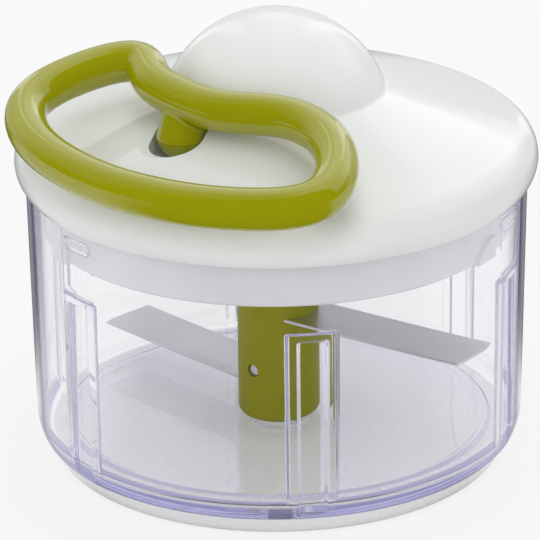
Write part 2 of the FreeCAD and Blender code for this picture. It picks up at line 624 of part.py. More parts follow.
def make_cord_eyelet():
    """Flanged grommet in the pocket's floor, its mouths rounded for the cord."""
    bore = CORD_R + 0.35
    low = POCKET_FLOOR_Z - POCKET_FLOOR_T
    high = POCKET_FLOOR_Z + EYELET_FLANGE_T
    eyelet = turned(
        (bore + 0.5, low - 0.6), (EYELET_R, low - 0.6), (EYELET_R, POCKET_FLOOR_Z),
        (EYELET_FLANGE_R, POCKET_FLOOR_Z), (EYELET_FLANGE_R, high), (bore + 0.5, high),
        ((bore + 0.15, high - 0.15), (bore, high - 0.5)), (bore, low - 0.1),
    )
    eyelet.translate(Vector(POST.x, POST.y, 0))
    return eyelet


def make_reel_axle():
    return rod(AXLE_R, AXLE_LOW_Z, AXLE_BOSS_Z + 4.5)


def make_spring_plate():
    return tube(SPRING_TUBE_R, ARBOR_R + SPRING_CLEAR, SPRING_FLOOR_Z - SPRING_PLATE_T, SPRING_FLOOR_Z)


def make_recoil_spring():
    """Flat spiral of half rings whose centres alternate, so that each half turn grows by half a pitch."""
    low = SPRING_FLOOR_Z + SPRING_CLEAR
    out_r = SPRING_TUBE_R - SPRING_TUBE_WALL - SPRING_CLEAR
    step = (out_r - SPRING_BAND - SPRING_IN_R) / (2 * SPRING_TURNS)
    spring = None
    for k in range(2 * SPRING_TURNS):
        radius = SPRING_IN_R + step * (k + 0.5)
        side = 1 if k % 2 else -1
        half = tube(radius + SPRING_BAND, radius, low, low + SPRING_H)
        keep = Part.makeBox(60, 30, SPRING_H, Vector(-30, 0 if side > 0 else -30, low))
        half = half.common(keep)
        half.translate(Vector(side * step / 2, 0, 0))
        spring = half if spring is None else spring.fuse(half)
    return spring.removeSplitter()


def cord_tangent():
    """Point where the cord leaves the wound turns, so that it runs straight to below the eyelet."""
    span = math.acos(LEAD_R / POST_ORBIT_R)
    angle = math.atan2(POST.y, POST.x) - span
    return Vector(LEAD_R * math.cos(angle), LEAD_R * math.sin(angle), CORD_Z)


def cord_gate_z():
    """Height inside the eyelet where the lead ends and the pulled cord starts."""
    return CORD_Z + CORD_BEND_R


def make_cord_lead():
    """Cord from the reel to the eyelet: a straight run and a quarter bend upwards."""
    start = cord_tangent()
    under = Vector(POST.x, POST.y, CORD_Z)
    along = (under - start).normalize()
    bend = under - along * CORD_BEND_R
    centre = bend + Z_AXIS * CORD_BEND_R
    middle = centre + (along - Z_AXIS) * (CORD_BEND_R * math.sqrt(0.5))
    end = Vector(POST.x, POST.y, cord_gate_z())
    path = Part.Wire([Part.makeLine(start, bend), Part.Arc(bend, middle, end).toShape()])
    circle = Part.Wire(Part.makeCircle(CORD_R, start, along))
    return path.makePipeShell([circle], True, True)


def make_pull_cord():
    return rod(CORD_R, cord_gate_z(), POST_SEAM_Z, POST.x, POST.y)


# --- Handle body ------------------------------------------------------------------------------------------

def make_handle_grip():
    """Round tube bent to a kidney that nests round the dome, with a post that drops into the pocket."""
    line = Part.BSplineCurve()
    line.interpolate([handle_point(u, v) for u, v in KIDNEY], PeriodicFlag=True)
    path = Part.Wire(line.toShape())
    start = line.value(line.FirstParameter)
    circle = Part.Wire(Part.makeCircle(TUBE_R, start, line.tangent(line.FirstParameter)[0]))
    loop = path.makePipeShell([circle], True, False)
    post = Part.makeCone(POST_R, POST_NECK_R, POST.z - POST_SEAM_Z, Vector(POST.x, POST.y, POST_SEAM_Z))
    core = KNOT_R + 0.5
    cavity = rod(core, POST_SEAM_Z, POST_SEAM_Z + 2 * KNOT_R + 1, POST.x, POST.y)
    return Part.Solid(loop.Shells[0]).fuse(post).cut(cavity)


def plug_tip_z():
    return POCKET_FLOOR_Z + EYELET_FLANGE_T + PLUG_LIFT


def make_handle_plug():
    """Rounded end of the post, bored for the cord."""
    tip = plug_tip_z()
    bore = CORD_R + 0.2
    waist = (POST_R - PLUG_SWELL, (tip + POST_SEAM_Z) / 2)
    plug = turned((bore, tip), (PLUG_TIP_R - 0.8, tip), (PLUG_TIP_R, tip + 0.4),
                  (waist, (POST_R, POST_SEAM_Z)), (bore, POST_SEAM_Z))
    plug.translate(Vector(POST.x, POST.y, 0))
    return plug


def make_cord_knot():
    """Knot of the cord's end, resting on the plug inside the post."""
    ball = Part.makeSphere(KNOT_R, Vector(POST.x, POST.y, POST_SEAM_Z + KNOT_R * 0.95))
    return ball.cut(rod(POST_R, POST_SEAM_Z - KNOT_R, POST_SEAM_Z, POST.x, POST.y))


# --- Reel body ----------------------------------------------------------------------------------------------

def make_cord_reel():
    """Drum between two flanges with the spring's arbor above and two pawl pins below."""
    bore = AXLE_R + RUN_GAP
    arbor_top = SPRING_FLOOR_Z + SPRING_CLEAR + SPRING_H
    reel = turned(
        (bore, REEL_LOW_Z), (FLANGE_REEL_R, REEL_LOW_Z), (FLANGE_REEL_R, DRUM_LOW_Z), (DRUM_R, DRUM_LOW_Z),
        (DRUM_R, DRUM_LOW_Z + DRUM_H), (FLANGE_REEL_R, DRUM_LOW_Z + DRUM_H), (FLANGE_REEL_R, REEL_TOP_Z),
        (ARBOR_R, REEL_TOP_Z), (ARBOR_R, arbor_top), (bore, arbor_top),
    )
    for pin in ring_of(rod(PAWL_PIN_R, RATCHET_LOW_Z, REEL_LOW_Z, 0, -PAWL_ORBIT_R), 2):
        reel = reel.fuse(pin)
    return reel


def make_reel_cord():
    """The wound turns as one sleeve, scalloped by the turns of its outer layer."""
    inner = DRUM_R + SEAT_GAP
    low = DRUM_LOW_Z + RUN_GAP
    steps = [(WOUND_R - CORD_R, low)]
    for k in range(CORD_TURNS_WIDE):
        middle = low + CORD_R * (2 * k + 1)
        steps.append(((WOUND_R, middle), (WOUND_R - CORD_R, middle + CORD_R)))
    top = low + 2 * CORD_R * CORD_TURNS_WIDE
    return turned((inner, low), *steps, (inner, top))


def make_clutch_pawl():
    """Pawl at the front: a round head on its pin and a nose that reaches a ratchet tooth."""
    low = RATCHET_LOW_Z + 0.2
    head = rod(PAWL_HEAD_R, low, low + PAWL_T, 0, -PAWL_ORBIT_R)
    nose_r = RATCHET_R + 0.3
    root = PAWL_HEAD_R * 0.9
    arm = Part.Face(Part.makePolygon([
        Vector(0, -PAWL_ORBIT_R - root, low), Vector(7.4, -nose_r + 1.0, low), Vector(6.6, -nose_r + 2.3, low),
        Vector(0, -PAWL_ORBIT_R + root, low), Vector(0, -PAWL_ORBIT_R - root, low),
    ])).extrude(Vector(0, 0, PAWL_T))
    pawl = head.fuse(arm).cut(rod(RATCHET_R + 0.3, low - 1, low + PAWL_T + 1))
    return pawl.cut(rod(PAWL_PIN_R + SEAT_GAP, low - 1, low + PAWL_T + 1, 0, -PAWL_ORBIT_R))


# --- Drive body -----------------------------------------------------------------------------------------------

def make_drive_shaft():
    """Shaft with a saw-toothed ratchet wheel on top and three dogs below that drive the hub."""
    points = []
    for k in range(RATCHET_TEETH):
        step = 360.0 / RATCHET_TEETH
        points.append(spot(RATCHET_R, k * step, RATCHET_LOW_Z))
        points.append(spot(RATCHET_R - RATCHET_TOOTH, k * step + 1.5, RATCHET_LOW_Z))
    wheel = Part.Face(Part.makePolygon(points + points[:1])).extrude(Vector(0, 0, RATCHET_T))
    dog_low = HUB_TOP_Z - SOCKET_DEPTH + 1.0
    shaft = rod(SHAFT_R, dog_low, RATCHET_LOW_Z)
    for k in range(3):
        shaft = shaft.fuse(wedge(DOG_R, DOG_SPAN, dog_low, dog_low + DOG_H, 120 * k))
    shaft = shaft.fuse(wheel)
    return shaft.cut(rod(AXLE_R + RUN_GAP, AXLE_LOW_Z - STACK_GAP, RATCHET_TOP_Z + 1))


def make_drive_bush():
    """Bearing sleeve of the drive shaft, its collar resting on the deck's boss."""
    low = DECK_Z - DECK_BOSS_DOWN
    boss_top = DECK_Z + DECK_BOSS_UP
    high = RATCHET_LOW_Z - STACK_GAP
    out_r = SHAFT_R + BUSH_WALL - SEAT_GAP
    collar_r = out_r + 1.6
    bore = SHAFT_R + RUN_GAP
    return turned((bore, low), (out_r, low), (out_r, boss_top), (collar_r, boss_top), (collar_r, high),
                  (bore, high))


def save(name, shape):
    """Write one sub-part as STEP."""
    shape.exportStep(os.path.join("parts", name + ".step"))
    print(name, shape.isValid(), len(shape.Solids), round(shape.Volume, 1))


save("bowl", make_bowl())
save("base_foot", make_base_foot())
save("bowl_spindle", make_bowl_spindle())
save("thrust_washer", make_thrust_washer())

save("hub_base", make_hub_base())
save("hub_spacer_lower", make_hub_spacer_lower())
save("hub_spacer_upper", make_hub_spacer_upper())
save("hub_collar", make_hub_collar())
save("hub_core", make_hub_core())
save("hub_bush_lower", make_hub_bush(HUB_LOW_Z + 0.5))
save("hub_bush_upper", make_hub_bush(SPINDLE_TOP_Z - BUSH_LENGTH - 0.5))
save("hub_cross_pin", make_hub_cross_pin())
save("blade_upper", make_blade(UPPER_BLADE_Z, UPPER_BLADE_DEG, True, -1))
save("blade_lower", make_blade(LOWER_BLADE_Z, LOWER_BLADE_DEG, False, 1))

save("lid_seal", make_lid_seal())
save("lid_cover", make_lid_cover())
save("lid_skirt", make_lid_skirt())
for number, screw_place in enumerate(screw_places(), 1):
    save("lid_screw_%d" % number, make_lid_screw(screw_place))
save("cord_eyelet", make_cord_eyelet())
save("reel_axle", make_reel_axle())
save("drive_bush", make_drive_bush())
save("spring_plate", make_spring_plate())
save("recoil_spring", make_recoil_spring())
save("cord_lead", make_cord_lead())
save("pull_cord", make_pull_cord())

save("cord_reel", make_cord_reel())
save("reel_cord", make_reel_cord())
for number, pawl in enumerate(ring_of(make_clutch_pawl(), 2), 1):
    save("clutch_pawl_%d" % number, pawl)
save("drive_shaft", make_drive_shaft())

save("handle_grip", make_handle_grip())
save("handle_plug", make_handle_plug())
save("cord_knot", make_cord_knot())
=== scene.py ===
"""Looks of the pull-cord food chopper: clear fluted bowl, white domed lid, lime kidney handle and two blades.

Metres in the scene, millimetres in the named sizes. The origin is the bowl's axis on the worktop, and -Y is
the front.
"""
import json
import math

import bpy
import numpy as np
from mathutils import Euler, Matrix, Vector


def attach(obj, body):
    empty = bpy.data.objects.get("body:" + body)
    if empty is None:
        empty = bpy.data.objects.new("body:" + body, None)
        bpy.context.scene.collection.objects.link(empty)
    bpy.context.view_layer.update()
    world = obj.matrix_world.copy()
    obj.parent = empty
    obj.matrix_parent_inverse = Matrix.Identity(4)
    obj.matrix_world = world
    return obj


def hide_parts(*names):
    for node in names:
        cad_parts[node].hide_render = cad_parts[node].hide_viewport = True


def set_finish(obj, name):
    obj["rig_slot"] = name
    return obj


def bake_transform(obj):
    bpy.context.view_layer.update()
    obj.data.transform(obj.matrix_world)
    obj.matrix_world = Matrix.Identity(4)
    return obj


MM = 0.001
FULL_TURN = 2 * math.pi

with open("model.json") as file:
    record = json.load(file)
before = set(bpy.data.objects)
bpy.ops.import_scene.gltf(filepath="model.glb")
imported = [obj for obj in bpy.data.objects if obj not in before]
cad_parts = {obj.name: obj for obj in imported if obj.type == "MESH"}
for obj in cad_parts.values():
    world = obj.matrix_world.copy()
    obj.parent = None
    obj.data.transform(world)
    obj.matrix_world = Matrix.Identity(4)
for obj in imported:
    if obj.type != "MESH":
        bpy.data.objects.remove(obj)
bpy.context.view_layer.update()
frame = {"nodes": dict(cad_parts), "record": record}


# --- Sizes of the pieces that are made again here, in millimetres -------------------------------------------
BOWL_LOW_R = 61.2              # outside, where the wall meets the bottom corner
BOWL_TOP_R = 62.4
BOWL_RIM_Z = 74.4
BOWL_WALL = 1.9
BOWL_FLOOR_Z = 8.0
BOWL_BOTTOM_Z = 4.6
CORNER_H = 6.7
CORNER_R = 3.2
BOSS_R = 8.0
BOSS_Z = 2.0
SOCKET_R = 3.05
SOCKET_Z = 3.0
WALL_THINNER = 0.5             # than at the rim, at the foot of the wall
INNER_CORNER_R = 4.0
INNER_CORNER_RISE = 1.0        # from the top of the outer corner to the top of the inner one
RIM_BEND = 1.0                 # the rim's rounding starts this far below it
AXIS_R = 0.6                   # the skin stops this far from the axis, and a fan closes it
BEAD_R = 52.0                  # of the round bead on the floor
BEAD_H = 0.6
BEAD_TOP = 0.5                 # half the width of its flat top
BEAD_OUT = 0.9                 # width of its outer slope
BEAD_IN = 0.6
GUTTER_DROP = 0.3              # of the floor outside the bead
FLUTES = 6
FLUTE_AZIMUTH = 7.5            # degrees from the front
FLUTE_TOP_Z = 54.4
GROOVE_TOP_Z = 52.6
RIB_FACE_R = 58.8
GROOVE_FACE_R = 60.2
RIB_W = 12.2
GROOVE_W = 6.6
FLUTE_DRAFT = 0.55             # half the width of a flute's sloping, rounded flank
FLANK_SPAN = 0.8               # columns of points are close together this far to each side of a flank
GROOVE_END = 4.2               # and up to here outside a groove's flank
END_SPAN = 1.2                 # rows are close together this far to each side of a flute's upper end
ROW_CLOSE = 0.2
ROW_WIDE = 4.0
ROW_MIDDLE = 3.0               # above the flutes
ROW_RIM = 1.5                  # above the lugs
LUGS = 3                       # one above every second flute
LUG_AZIMUTH = FLUTE_AZIMUTH + 60
LUG_Z = 68.4
LUG_LENGTH = 10.0
LUG_H = 2.6
LUG_DEPTH = 1.35
LUG_ROUND = 0.45
LUG_SPAN = 1.9                 # rows are close together this far above and below a lug's middle
PANEL_DEPTH = 0.18             # of the shallow panels above the lugs' flutes
PANEL_STEP = 0.5               # width of the step round a panel
PANEL_FOOT = 0.6               # from a flute's upper end up to its panel
FOOT_TOP_R = 57.9
FOOT_LOW_R = 56.4
FOOT_RING_W = 6.5
FOOT_RECESS = 1.2
FOOT_PAD_R = 10.0
FOOT_SLOPE = 1.0               # width of the slopes between the recess, the pad and the ring
FOOT_EDGE = 0.4
FOOT_FLARE = 0.8               # the ring's outside stands out by this at FLARE_Z
FLARE_Z = 2.0
FOOT_LIP = 1.2                 # width of the lip round the bowl's underside
FOOT_AXIS_R = 0.5
FOOT_AIR = 0.2                 # air between the foot and the bowl, which shows through the clear floor
TUBE_R = 5.15
KIDNEY = (
    (-25.6, -12.2), (-20.6, -7.6), (-12.0, -3.0), (2.7, 0.0), (18.1, -1.8), (38.0, 8.9), (41.2, 25.6),
    (27.1, 33.3), (10.7, 35.6), (-8.4, 34.5), (-25.5, 29.5), (-39.1, 20.8), (-44.8, 11.7), (-39.2, -4.3),
)                              # centre line in the handle's plane: across, and down the slope
KIDNEY_NEST = 34.4             # from the lid's axis down the slope to the kidney's zero
HANDLE_PLANE_Z = 110.2
HANDLE_TILT = 16.7             # degrees
HANDLE_AZIMUTH = -28.0
POST_AT = (-8.8, -1.1)         # in the handle's plane
POST_R = 6.4
POST_ALONG = 6.1               # half the post's length along the tube, where it meets it
POST_ACROSS = 4.75             # and half its width across
POST_SEAM_Z = 91.2
SEAM_ROUND = 0.25
SEAM_GAP = 0.05
POST_FILLET = 1.0
FILLET_SPREAD = 0.12           # the fillet's outline widens across by this for each radian of its arc
TUBE_BITE = 0.05               # the post's top reaches this far into the tube
PLUG_TIP_R = 3.8
PLUG_TIP_Z = 86.6
TIP_CUT_R = 0.7                # width and height of the cut edge round the plug's tip
TIP_CUT_Z = 0.4
PLUG_INSET = 0.1               # the plug is thinner than the post by this at the seam
PLUG_SWELL = 0.9               # the plug bulges to within this of the post's radius, at half its height
CORD_R = 0.9
CORD_EYE_Z = 83.6
CORD_BORE_R = 1.1


# --- Surfaces worked out on grids ---------------------------------------------------------------------------

def put_mesh(name, points, faces):
    """Smooth-shaded object at the origin from points in millimetres and rows of corner numbers."""
    data = bpy.data.meshes.new(name)
    data.from_pydata((points * MM).tolist(), [], faces)
    data.polygons.foreach_set("use_smooth", np.ones(len(data.polygons), bool))
    data.update()
    piece = bpy.data.objects.new(name, data)
    bpy.context.scene.collection.objects.link(piece)
    return piece


def strip_faces(rows, columns, first=0):
    """Quads between neighbouring rows of a grid whose columns close on themselves."""
    here = first + np.arange(rows * columns).reshape(rows, columns)
    aside = np.roll(here, -1, axis=1)
    return np.stack([here[:-1], aside[:-1], aside[1:], here[1:]], axis=-1).reshape(-1, 4).tolist()


def closed_grid(name, grid):
    """Grid of rows of points, closed along its columns, with a fan to the mean of its first and last row."""
    rows, columns = grid.shape[:2]
    points = grid.reshape(-1, 3)
    tips = np.array([grid[0].mean(0), grid[-1].mean(0)])
    start, end = len(points), len(points) + 1
    first = np.arange(columns)
    last = first + (rows - 1) * columns
    faces = strip_faces(rows, columns)
    faces += np.stack([np.roll(first, -1), first, np.full(columns, start)], axis=-1).tolist()
    faces += np.stack([last, np.roll(last, -1), np.full(columns, end)], axis=-1).tolist()
    return put_mesh(name, np.concatenate([points, tips]), faces)


def smooth_step(low, high, x):
    """0 below low, 1 above high, and 3t^2 - 2t^3 between them."""
    t = np.clip((x - low) / (high - low), 0, 1)
    return t * t * (3 - 2 * t)


def rounded(corners, cuts, spacing):
    """Profile through corners (r, z), each one cut off by its own length and bridged by a parabola.

    Between the bridges the profile is straight, with points no further apart than the spacing.
    """
    corners = np.asarray(corners, float)
    stops = [corners[:1]]
    for before, here, after, cut in zip(corners[:-2], corners[1:-1], corners[2:], cuts):
        back, ahead = before - here, after - here
        reach_back = min(1, cut / np.linalg.norm(back))
        reach_ahead = min(1, cut / np.linalg.norm(ahead))
        t = np.linspace(0, 1, 7)[:, None]
        stops.append((1 - t) ** 2 * (here + back * reach_back) + 2 * t * (1 - t) * here
                     + t ** 2 * (here + ahead * reach_ahead))
    stops = np.concatenate(stops + [corners[-1:]])
    stops = stops[np.r_[True, np.linalg.norm(np.diff(stops, axis=0), axis=1) > 1e-6]]
    steps = np.linalg.norm(np.diff(stops, axis=0), axis=1)
    counts = np.maximum(1, np.ceil(steps / spacing)).astype(int)
    position = np.concatenate([[0], np.cumsum(counts)])
    wanted = np.arange(position[-1] + 1)
    return np.stack([np.interp(wanted, position, stops[:, axis]) for axis in (0, 1)], axis=-1)


def revolve(profile, azimuths):
    """Grid of a profile (r, z) turned about Z: azimuth 0 is the front and grows towards +X."""
    r, z = profile[:, 0, None], profile[:, 1, None]
    a = azimuths[None, :]
    return np.stack([r * np.sin(a), -r * np.cos(a), z + 0 * a], axis=-1)


def even_turn(columns):
    """Azimuths of evenly spaced columns."""
    return np.arange(columns) * FULL_TURN / columns


# --- Bowl ---------------------------------------------------------------------------------------------------

def flute_turn():
    """Azimuths round the bowl: close together across the flanks of each flute and lug, wide apart between.

    From a flute's middle outwards they go evenly from stop to stop, in so many steps each.
    """
    stops = (0, GROOVE_W / 2 - FLANK_SPAN, GROOVE_END, RIB_W / 2 - FLANK_SPAN, RIB_W / 2 + FLANK_SPAN)
    steps = np.cumsum((0, 4, 8, 4, 7))
    offsets = np.interp(np.arange(steps[-1] + 1), steps, stops) / BOWL_LOW_R
    pitch = FULL_TURN / FLUTES
    between = np.linspace(offsets[-1], pitch - offsets[-1], 20)[1:-1]
    one = np.concatenate([-offsets[:0:-1], offsets, between])
    starts = math.radians(FLUTE_AZIMUTH) + np.arange(FLUTES) * pitch
    return (starts[:, None] + one[None, :]).ravel()


def from_nearest(azimuths, count, first):
    """Angle of each azimuth from the nearest of count places, spread evenly round the bowl from the first."""
    pitch = FULL_TURN / count
    return (azimuths - math.radians(first) + pitch / 2) % pitch - pitch / 2


def channel_share(azimuths, z, width, top_z):
    """How far a flat-faced channel of that width is pressed in: 1 on its face and 0 off it.

    The share falls with a smooth step across the flank at half the width and across the upper end at top_z.
    """
    side = np.abs(BOWL_LOW_R * np.sin(from_nearest(azimuths, FLUTES, FLUTE_AZIMUTH)))
    share = 1 - smooth_step(width / 2 - FLUTE_DRAFT, width / 2 + FLUTE_DRAFT, side)
    return share * (1 - smooth_step(top_z - FLUTE_DRAFT, top_z + FLUTE_DRAFT, z))


def flutes_in(r, azimuths, z, face_r, width, top_z):
    """Radii after a channel is pressed in at each flute, and how far each point lies on its flank, 0 to 1.

    By the channel's share, r falls to face_r / cos(angle from the flute's middle), a flat face. The flank is
    4 x share x (1 - share).
    """
    share = channel_share(azimuths, z, width, top_z)
    face = face_r / np.cos(from_nearest(azimuths, FLUTES, FLUTE_AZIMUTH))
    return r - share * np.maximum(0, r - face), 4 * share * (1 - share) * (r > face_r)


def lugs_in(r, azimuths, z):
    """Radii after a flat lug with round ends stands in from the wall above every second flute.

    The lug's outline is the distance LUG_H / 2 from a level line; across it r falls by LUG_DEPTH in a smooth
    step.
    """
    side = np.abs(BOWL_LOW_R * np.sin(from_nearest(azimuths, LUGS, LUG_AZIMUTH)))
    away = np.hypot(np.maximum(0, side - (LUG_LENGTH - LUG_H) / 2), z - LUG_Z)
    return r - LUG_DEPTH * (1 - smooth_step(LUG_H / 2 - LUG_ROUND, LUG_H / 2 + LUG_ROUND, away))


def panels_in(r, azimuths, z):
    """Radii after a shallow panel as wide as the rib is sunk into the inside above every second flute.

    r grows by PANEL_DEPTH, with a smooth step at the panel's sides and its lower end. It runs on to the rim.
    """
    side = np.abs(BOWL_LOW_R * np.sin(from_nearest(azimuths, LUGS, LUG_AZIMUTH)))
    foot_z = FLUTE_TOP_Z + PANEL_FOOT
    share = 1 - smooth_step(RIB_W / 2 - PANEL_STEP, RIB_W / 2, side)
    return r + PANEL_DEPTH * share * smooth_step(foot_z, foot_z + PANEL_STEP, z)


def heights(*stops):
    """Heights from runs of (start, end, spacing)."""
    runs = [np.arange(start, end, math.copysign(spacing, end - start)) for start, end, spacing in stops]
    return np.concatenate(runs + [[stops[-1][1]]])


def bowl_profiles():
    """Profiles (r, z) of the bowl's skin: from under the boss up the outside, over the rim, and down inside.

    The outer corner is a quarter of an ellipse, CORNER_R wide and CORNER_H high. The inner one is another.
    """
    corner_z = BOWL_BOTTOM_Z + CORNER_H
    in_low_r = BOWL_LOW_R - BOWL_WALL + WALL_THINNER
    in_low_z = corner_z + INNER_CORNER_RISE
    rim_r = BOWL_TOP_R - BOWL_WALL
    bend_z = BOWL_RIM_Z - RIM_BEND
    gutter_z = BOWL_FLOOR_Z - GUTTER_DROP
    quarter = np.linspace(0, math.pi / 2, 12)

    under = rounded([(AXIS_R, BOSS_Z), (BOSS_R, BOSS_Z), (BOSS_R, BOWL_BOTTOM_Z),
                     (BOWL_LOW_R - CORNER_R, BOWL_BOTTOM_Z)], cuts=(0.5, 0.3), spacing=12.0)
    corner = np.stack([BOWL_LOW_R - CORNER_R + CORNER_R * np.sin(quarter),
                       corner_z - CORNER_H * np.cos(quarter)], -1)
    z = heights((corner_z + 1.5, GROOVE_TOP_Z - END_SPAN, ROW_WIDE),
                (GROOVE_TOP_Z - END_SPAN, GROOVE_TOP_Z + END_SPAN, ROW_CLOSE),
                (GROOVE_TOP_Z + END_SPAN + ROW_CLOSE, bend_z, ROW_MIDDLE))
    outside = np.stack([np.interp(z, (corner_z, BOWL_RIM_Z), (BOWL_LOW_R, BOWL_TOP_R)), z], -1)
    rim = rounded([outside[-1], (BOWL_TOP_R, BOWL_RIM_Z), (rim_r, BOWL_RIM_Z), (rim_r, bend_z)],
                  cuts=(0.66, 0.66), spacing=1.0)[1:-1]
    z = heights((bend_z, LUG_Z + LUG_SPAN, ROW_RIM), (LUG_Z + LUG_SPAN, LUG_Z - LUG_SPAN, ROW_CLOSE),
                (LUG_Z - LUG_SPAN - 0.5, FLUTE_TOP_Z + END_SPAN, ROW_MIDDLE),
                (FLUTE_TOP_Z + END_SPAN, FLUTE_TOP_Z - END_SPAN, ROW_CLOSE),
                (FLUTE_TOP_Z - END_SPAN - ROW_CLOSE, in_low_z, ROW_WIDE))
    inside = np.stack([np.interp(z, (in_low_z, BOWL_RIM_Z), (in_low_r, rim_r)), z], -1)
    in_corner = np.stack([in_low_r - INNER_CORNER_R * (1 - np.cos(quarter)),
                          in_low_z - (in_low_z - gutter_z) * np.sin(quarter)], -1)
    bead_top_z = BOWL_FLOOR_Z + BEAD_H
    floor = rounded([in_corner[-1], (BEAD_R + BEAD_TOP + BEAD_OUT, gutter_z), (BEAD_R + BEAD_TOP, bead_top_z),
                     (BEAD_R - BEAD_TOP, bead_top_z), (BEAD_R - BEAD_TOP - BEAD_IN, BOWL_FLOOR_Z),
                     (SOCKET_R, BOWL_FLOOR_Z), (SOCKET_R, SOCKET_Z), (AXIS_R, SOCKET_Z)],
                    cuts=(0.5, 0.4, 0.4, 0.5, 0.2, 0.1), spacing=8.0)
    return (np.concatenate([under, corner[1:], outside]), rim,
            np.concatenate([inside, in_corner[1:], floor[1:]]))


def make_bowl():
    """Clear bowl as one closed skin.

    The skin is its profile r(z) turned about the axis, with the grooves pressed into the outside and the ribs
    and bayonet lugs standing out of the inside. The point attribute "flank" is 1 on the flutes' flanks.
    """
    azimuths = flute_turn()
    outer, rim, inner = (revolve(profile, azimuths) for profile in bowl_profiles())
    around = azimuths[None, :]
    outer_r, inner_r = (np.hypot(skin[..., 0], skin[..., 1]) for skin in (outer, inner))
    grooved, outer_flank = flutes_in(outer_r, around, outer[..., 2], GROOVE_FACE_R, GROOVE_W, GROOVE_TOP_Z)
    ribbed, inner_flank = flutes_in(inner_r, around, inner[..., 2], RIB_FACE_R, RIB_W, FLUTE_TOP_Z)
    ribbed = lugs_in(panels_in(ribbed, around, inner[..., 2]), around, inner[..., 2])
    outer[..., :2] *= (grooved / outer_r)[..., None]
    inner[..., :2] *= (ribbed / inner_r)[..., None]
    bowl = closed_grid("bowl_shell", np.concatenate([outer, rim, inner]))
    flank = np.concatenate([outer_flank, np.zeros(rim.shape[:2]), inner_flank])
    tips = (0, 0)
    marks = bowl.data.attributes.new("flank", "FLOAT", "POINT")
    marks.data.foreach_set("value", np.append(flank.ravel(), tips))
    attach(bowl, "bowl")
    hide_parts("bowl")
    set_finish(bowl, "clear_bowl")
    return bowl


def make_foot():
    """Foot ring with its centre pad: one profile turned about the axis."""
    ring_in_r = FOOT_LOW_R - FOOT_RING_W
    top = BOWL_BOTTOM_Z - FOOT_AIR
    hole_r = BOSS_R + FOOT_AIR
    hole_z = BOSS_Z - FOOT_AIR
    profile = rounded([
        (FOOT_AXIS_R, 0), (FOOT_PAD_R, 0), (FOOT_PAD_R + FOOT_SLOPE, FOOT_RECESS),
        (ring_in_r - FOOT_SLOPE, FOOT_RECESS), (ring_in_r, 0), (FOOT_LOW_R - FOOT_EDGE, 0),
        (FOOT_LOW_R + FOOT_FLARE, FLARE_Z), (FOOT_TOP_R, BOWL_BOTTOM_Z),
        (FOOT_TOP_R - FOOT_LIP, BOWL_BOTTOM_Z), (FOOT_TOP_R - FOOT_LIP - FOOT_AIR, top), (hole_r, top),
        (hole_r, hole_z), (FOOT_AXIS_R, hole_z),
    ], cuts=(0.3, 0.3, 0.3, 0.3, 0.9, 1.0, 0.3, 0.1, 0.1, 0.1, 0.1), spacing=10.0)
    foot = closed_grid("foot_ring", revolve(profile, even_turn(240)))
    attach(foot, "bowl")
    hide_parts("base_foot")
    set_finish(foot, "foot")
    return foot


# --- Handle -------------------------------------------------------------------------------------------------

def handle_axes():
    """Level direction, downhill direction and upward normal of the handle's plane."""
    azimuth, tilt = math.radians(HANDLE_AZIMUTH), math.radians(HANDLE_TILT)
    level = np.array([math.cos(azimuth), math.sin(azimuth), 0])
    out = np.array([math.sin(azimuth), -math.cos(azimuth), 0])
    down = out * math.cos(tilt) - np.array([0, 0, math.sin(tilt)])
    return level, down, np.cross(down, level) * -1


def in_handle_plane(u, v):
    """Points of the handle's plane, u across it and v down its slope."""
    level, down, normal = handle_axes()
    u, v = np.asarray(u)[..., None], np.asarray(v)[..., None]
    return np.array([0, 0, HANDLE_PLANE_Z]) + u * level + (v + KIDNEY_NEST) * down


def closed_spline(stops, count):
    """Smooth closed line through stops, and its direction.

    Each stretch is a cubic in chord length; the second derivatives solve the ring of equations that makes
    slope and curvature continuous at every stop.
    """
    stops = np.asarray(stops, float)
    number = len(stops)
    ahead = np.roll(stops, -1, axis=0)
    h = np.linalg.norm(ahead - stops, axis=1)
    rise = (ahead - stops) / h[:, None]
    here = np.arange(number)
    ring = np.zeros((number, number))
    ring[here, here - 1] = np.roll(h, 1)
    ring[here, here] = 2 * (h + np.roll(h, 1))
    ring[here, (here + 1) % number] = h
    bend = np.linalg.solve(ring, 6 * (rise - np.roll(rise, 1, axis=0)))
    knots = np.concatenate([[0], np.cumsum(h)])
    s = np.arange(count) * knots[-1] / count
    k = np.searchsorted(knots, s, side="right") - 1
    t, hk = (s - knots[k])[:, None], h[k][:, None]
    m0, m1 = bend[k], np.roll(bend, -1, axis=0)[k]
    slope = rise[k] - hk * (2 * m0 + m1) / 6
    line = stops[k] + slope * t + m0 * t ** 2 / 2 + (m1 - m0) * t ** 3 / (6 * hk)
    direction = slope + m0 * t + (m1 - m0) * t ** 2 / (2 * hk)
    return line, direction / np.linalg.norm(direction, axis=1)[:, None]


def handle_line(count):
    """Centre line of the handle's tube, and its direction."""
    return closed_spline(in_handle_plane(*np.array(KIDNEY).T), count)


def make_handle_tube():
    """Round tube along the kidney: circles square to the centre line, closed on itself."""
    line, direction = handle_line(360)
    normal = handle_axes()[2]
    across = np.cross(direction, normal)
    turn = even_turn(48)[None, :, None]
    rings = line[:, None] + TUBE_R * (across[:, None] * np.cos(turn) + normal * np.sin(turn))
    rows, columns = rings.shape[:2]
    here = np.arange(rows * columns).reshape(rows, columns)
    ahead, aside = np.roll(here, -1, axis=0), np.roll(here, -1, axis=1)
    faces = np.stack([here, aside, np.roll(ahead, -1, axis=1), ahead], axis=-1).reshape(-1, 4).tolist()
    return put_mesh("handle_loop", rings.reshape(-1, 3), faces)


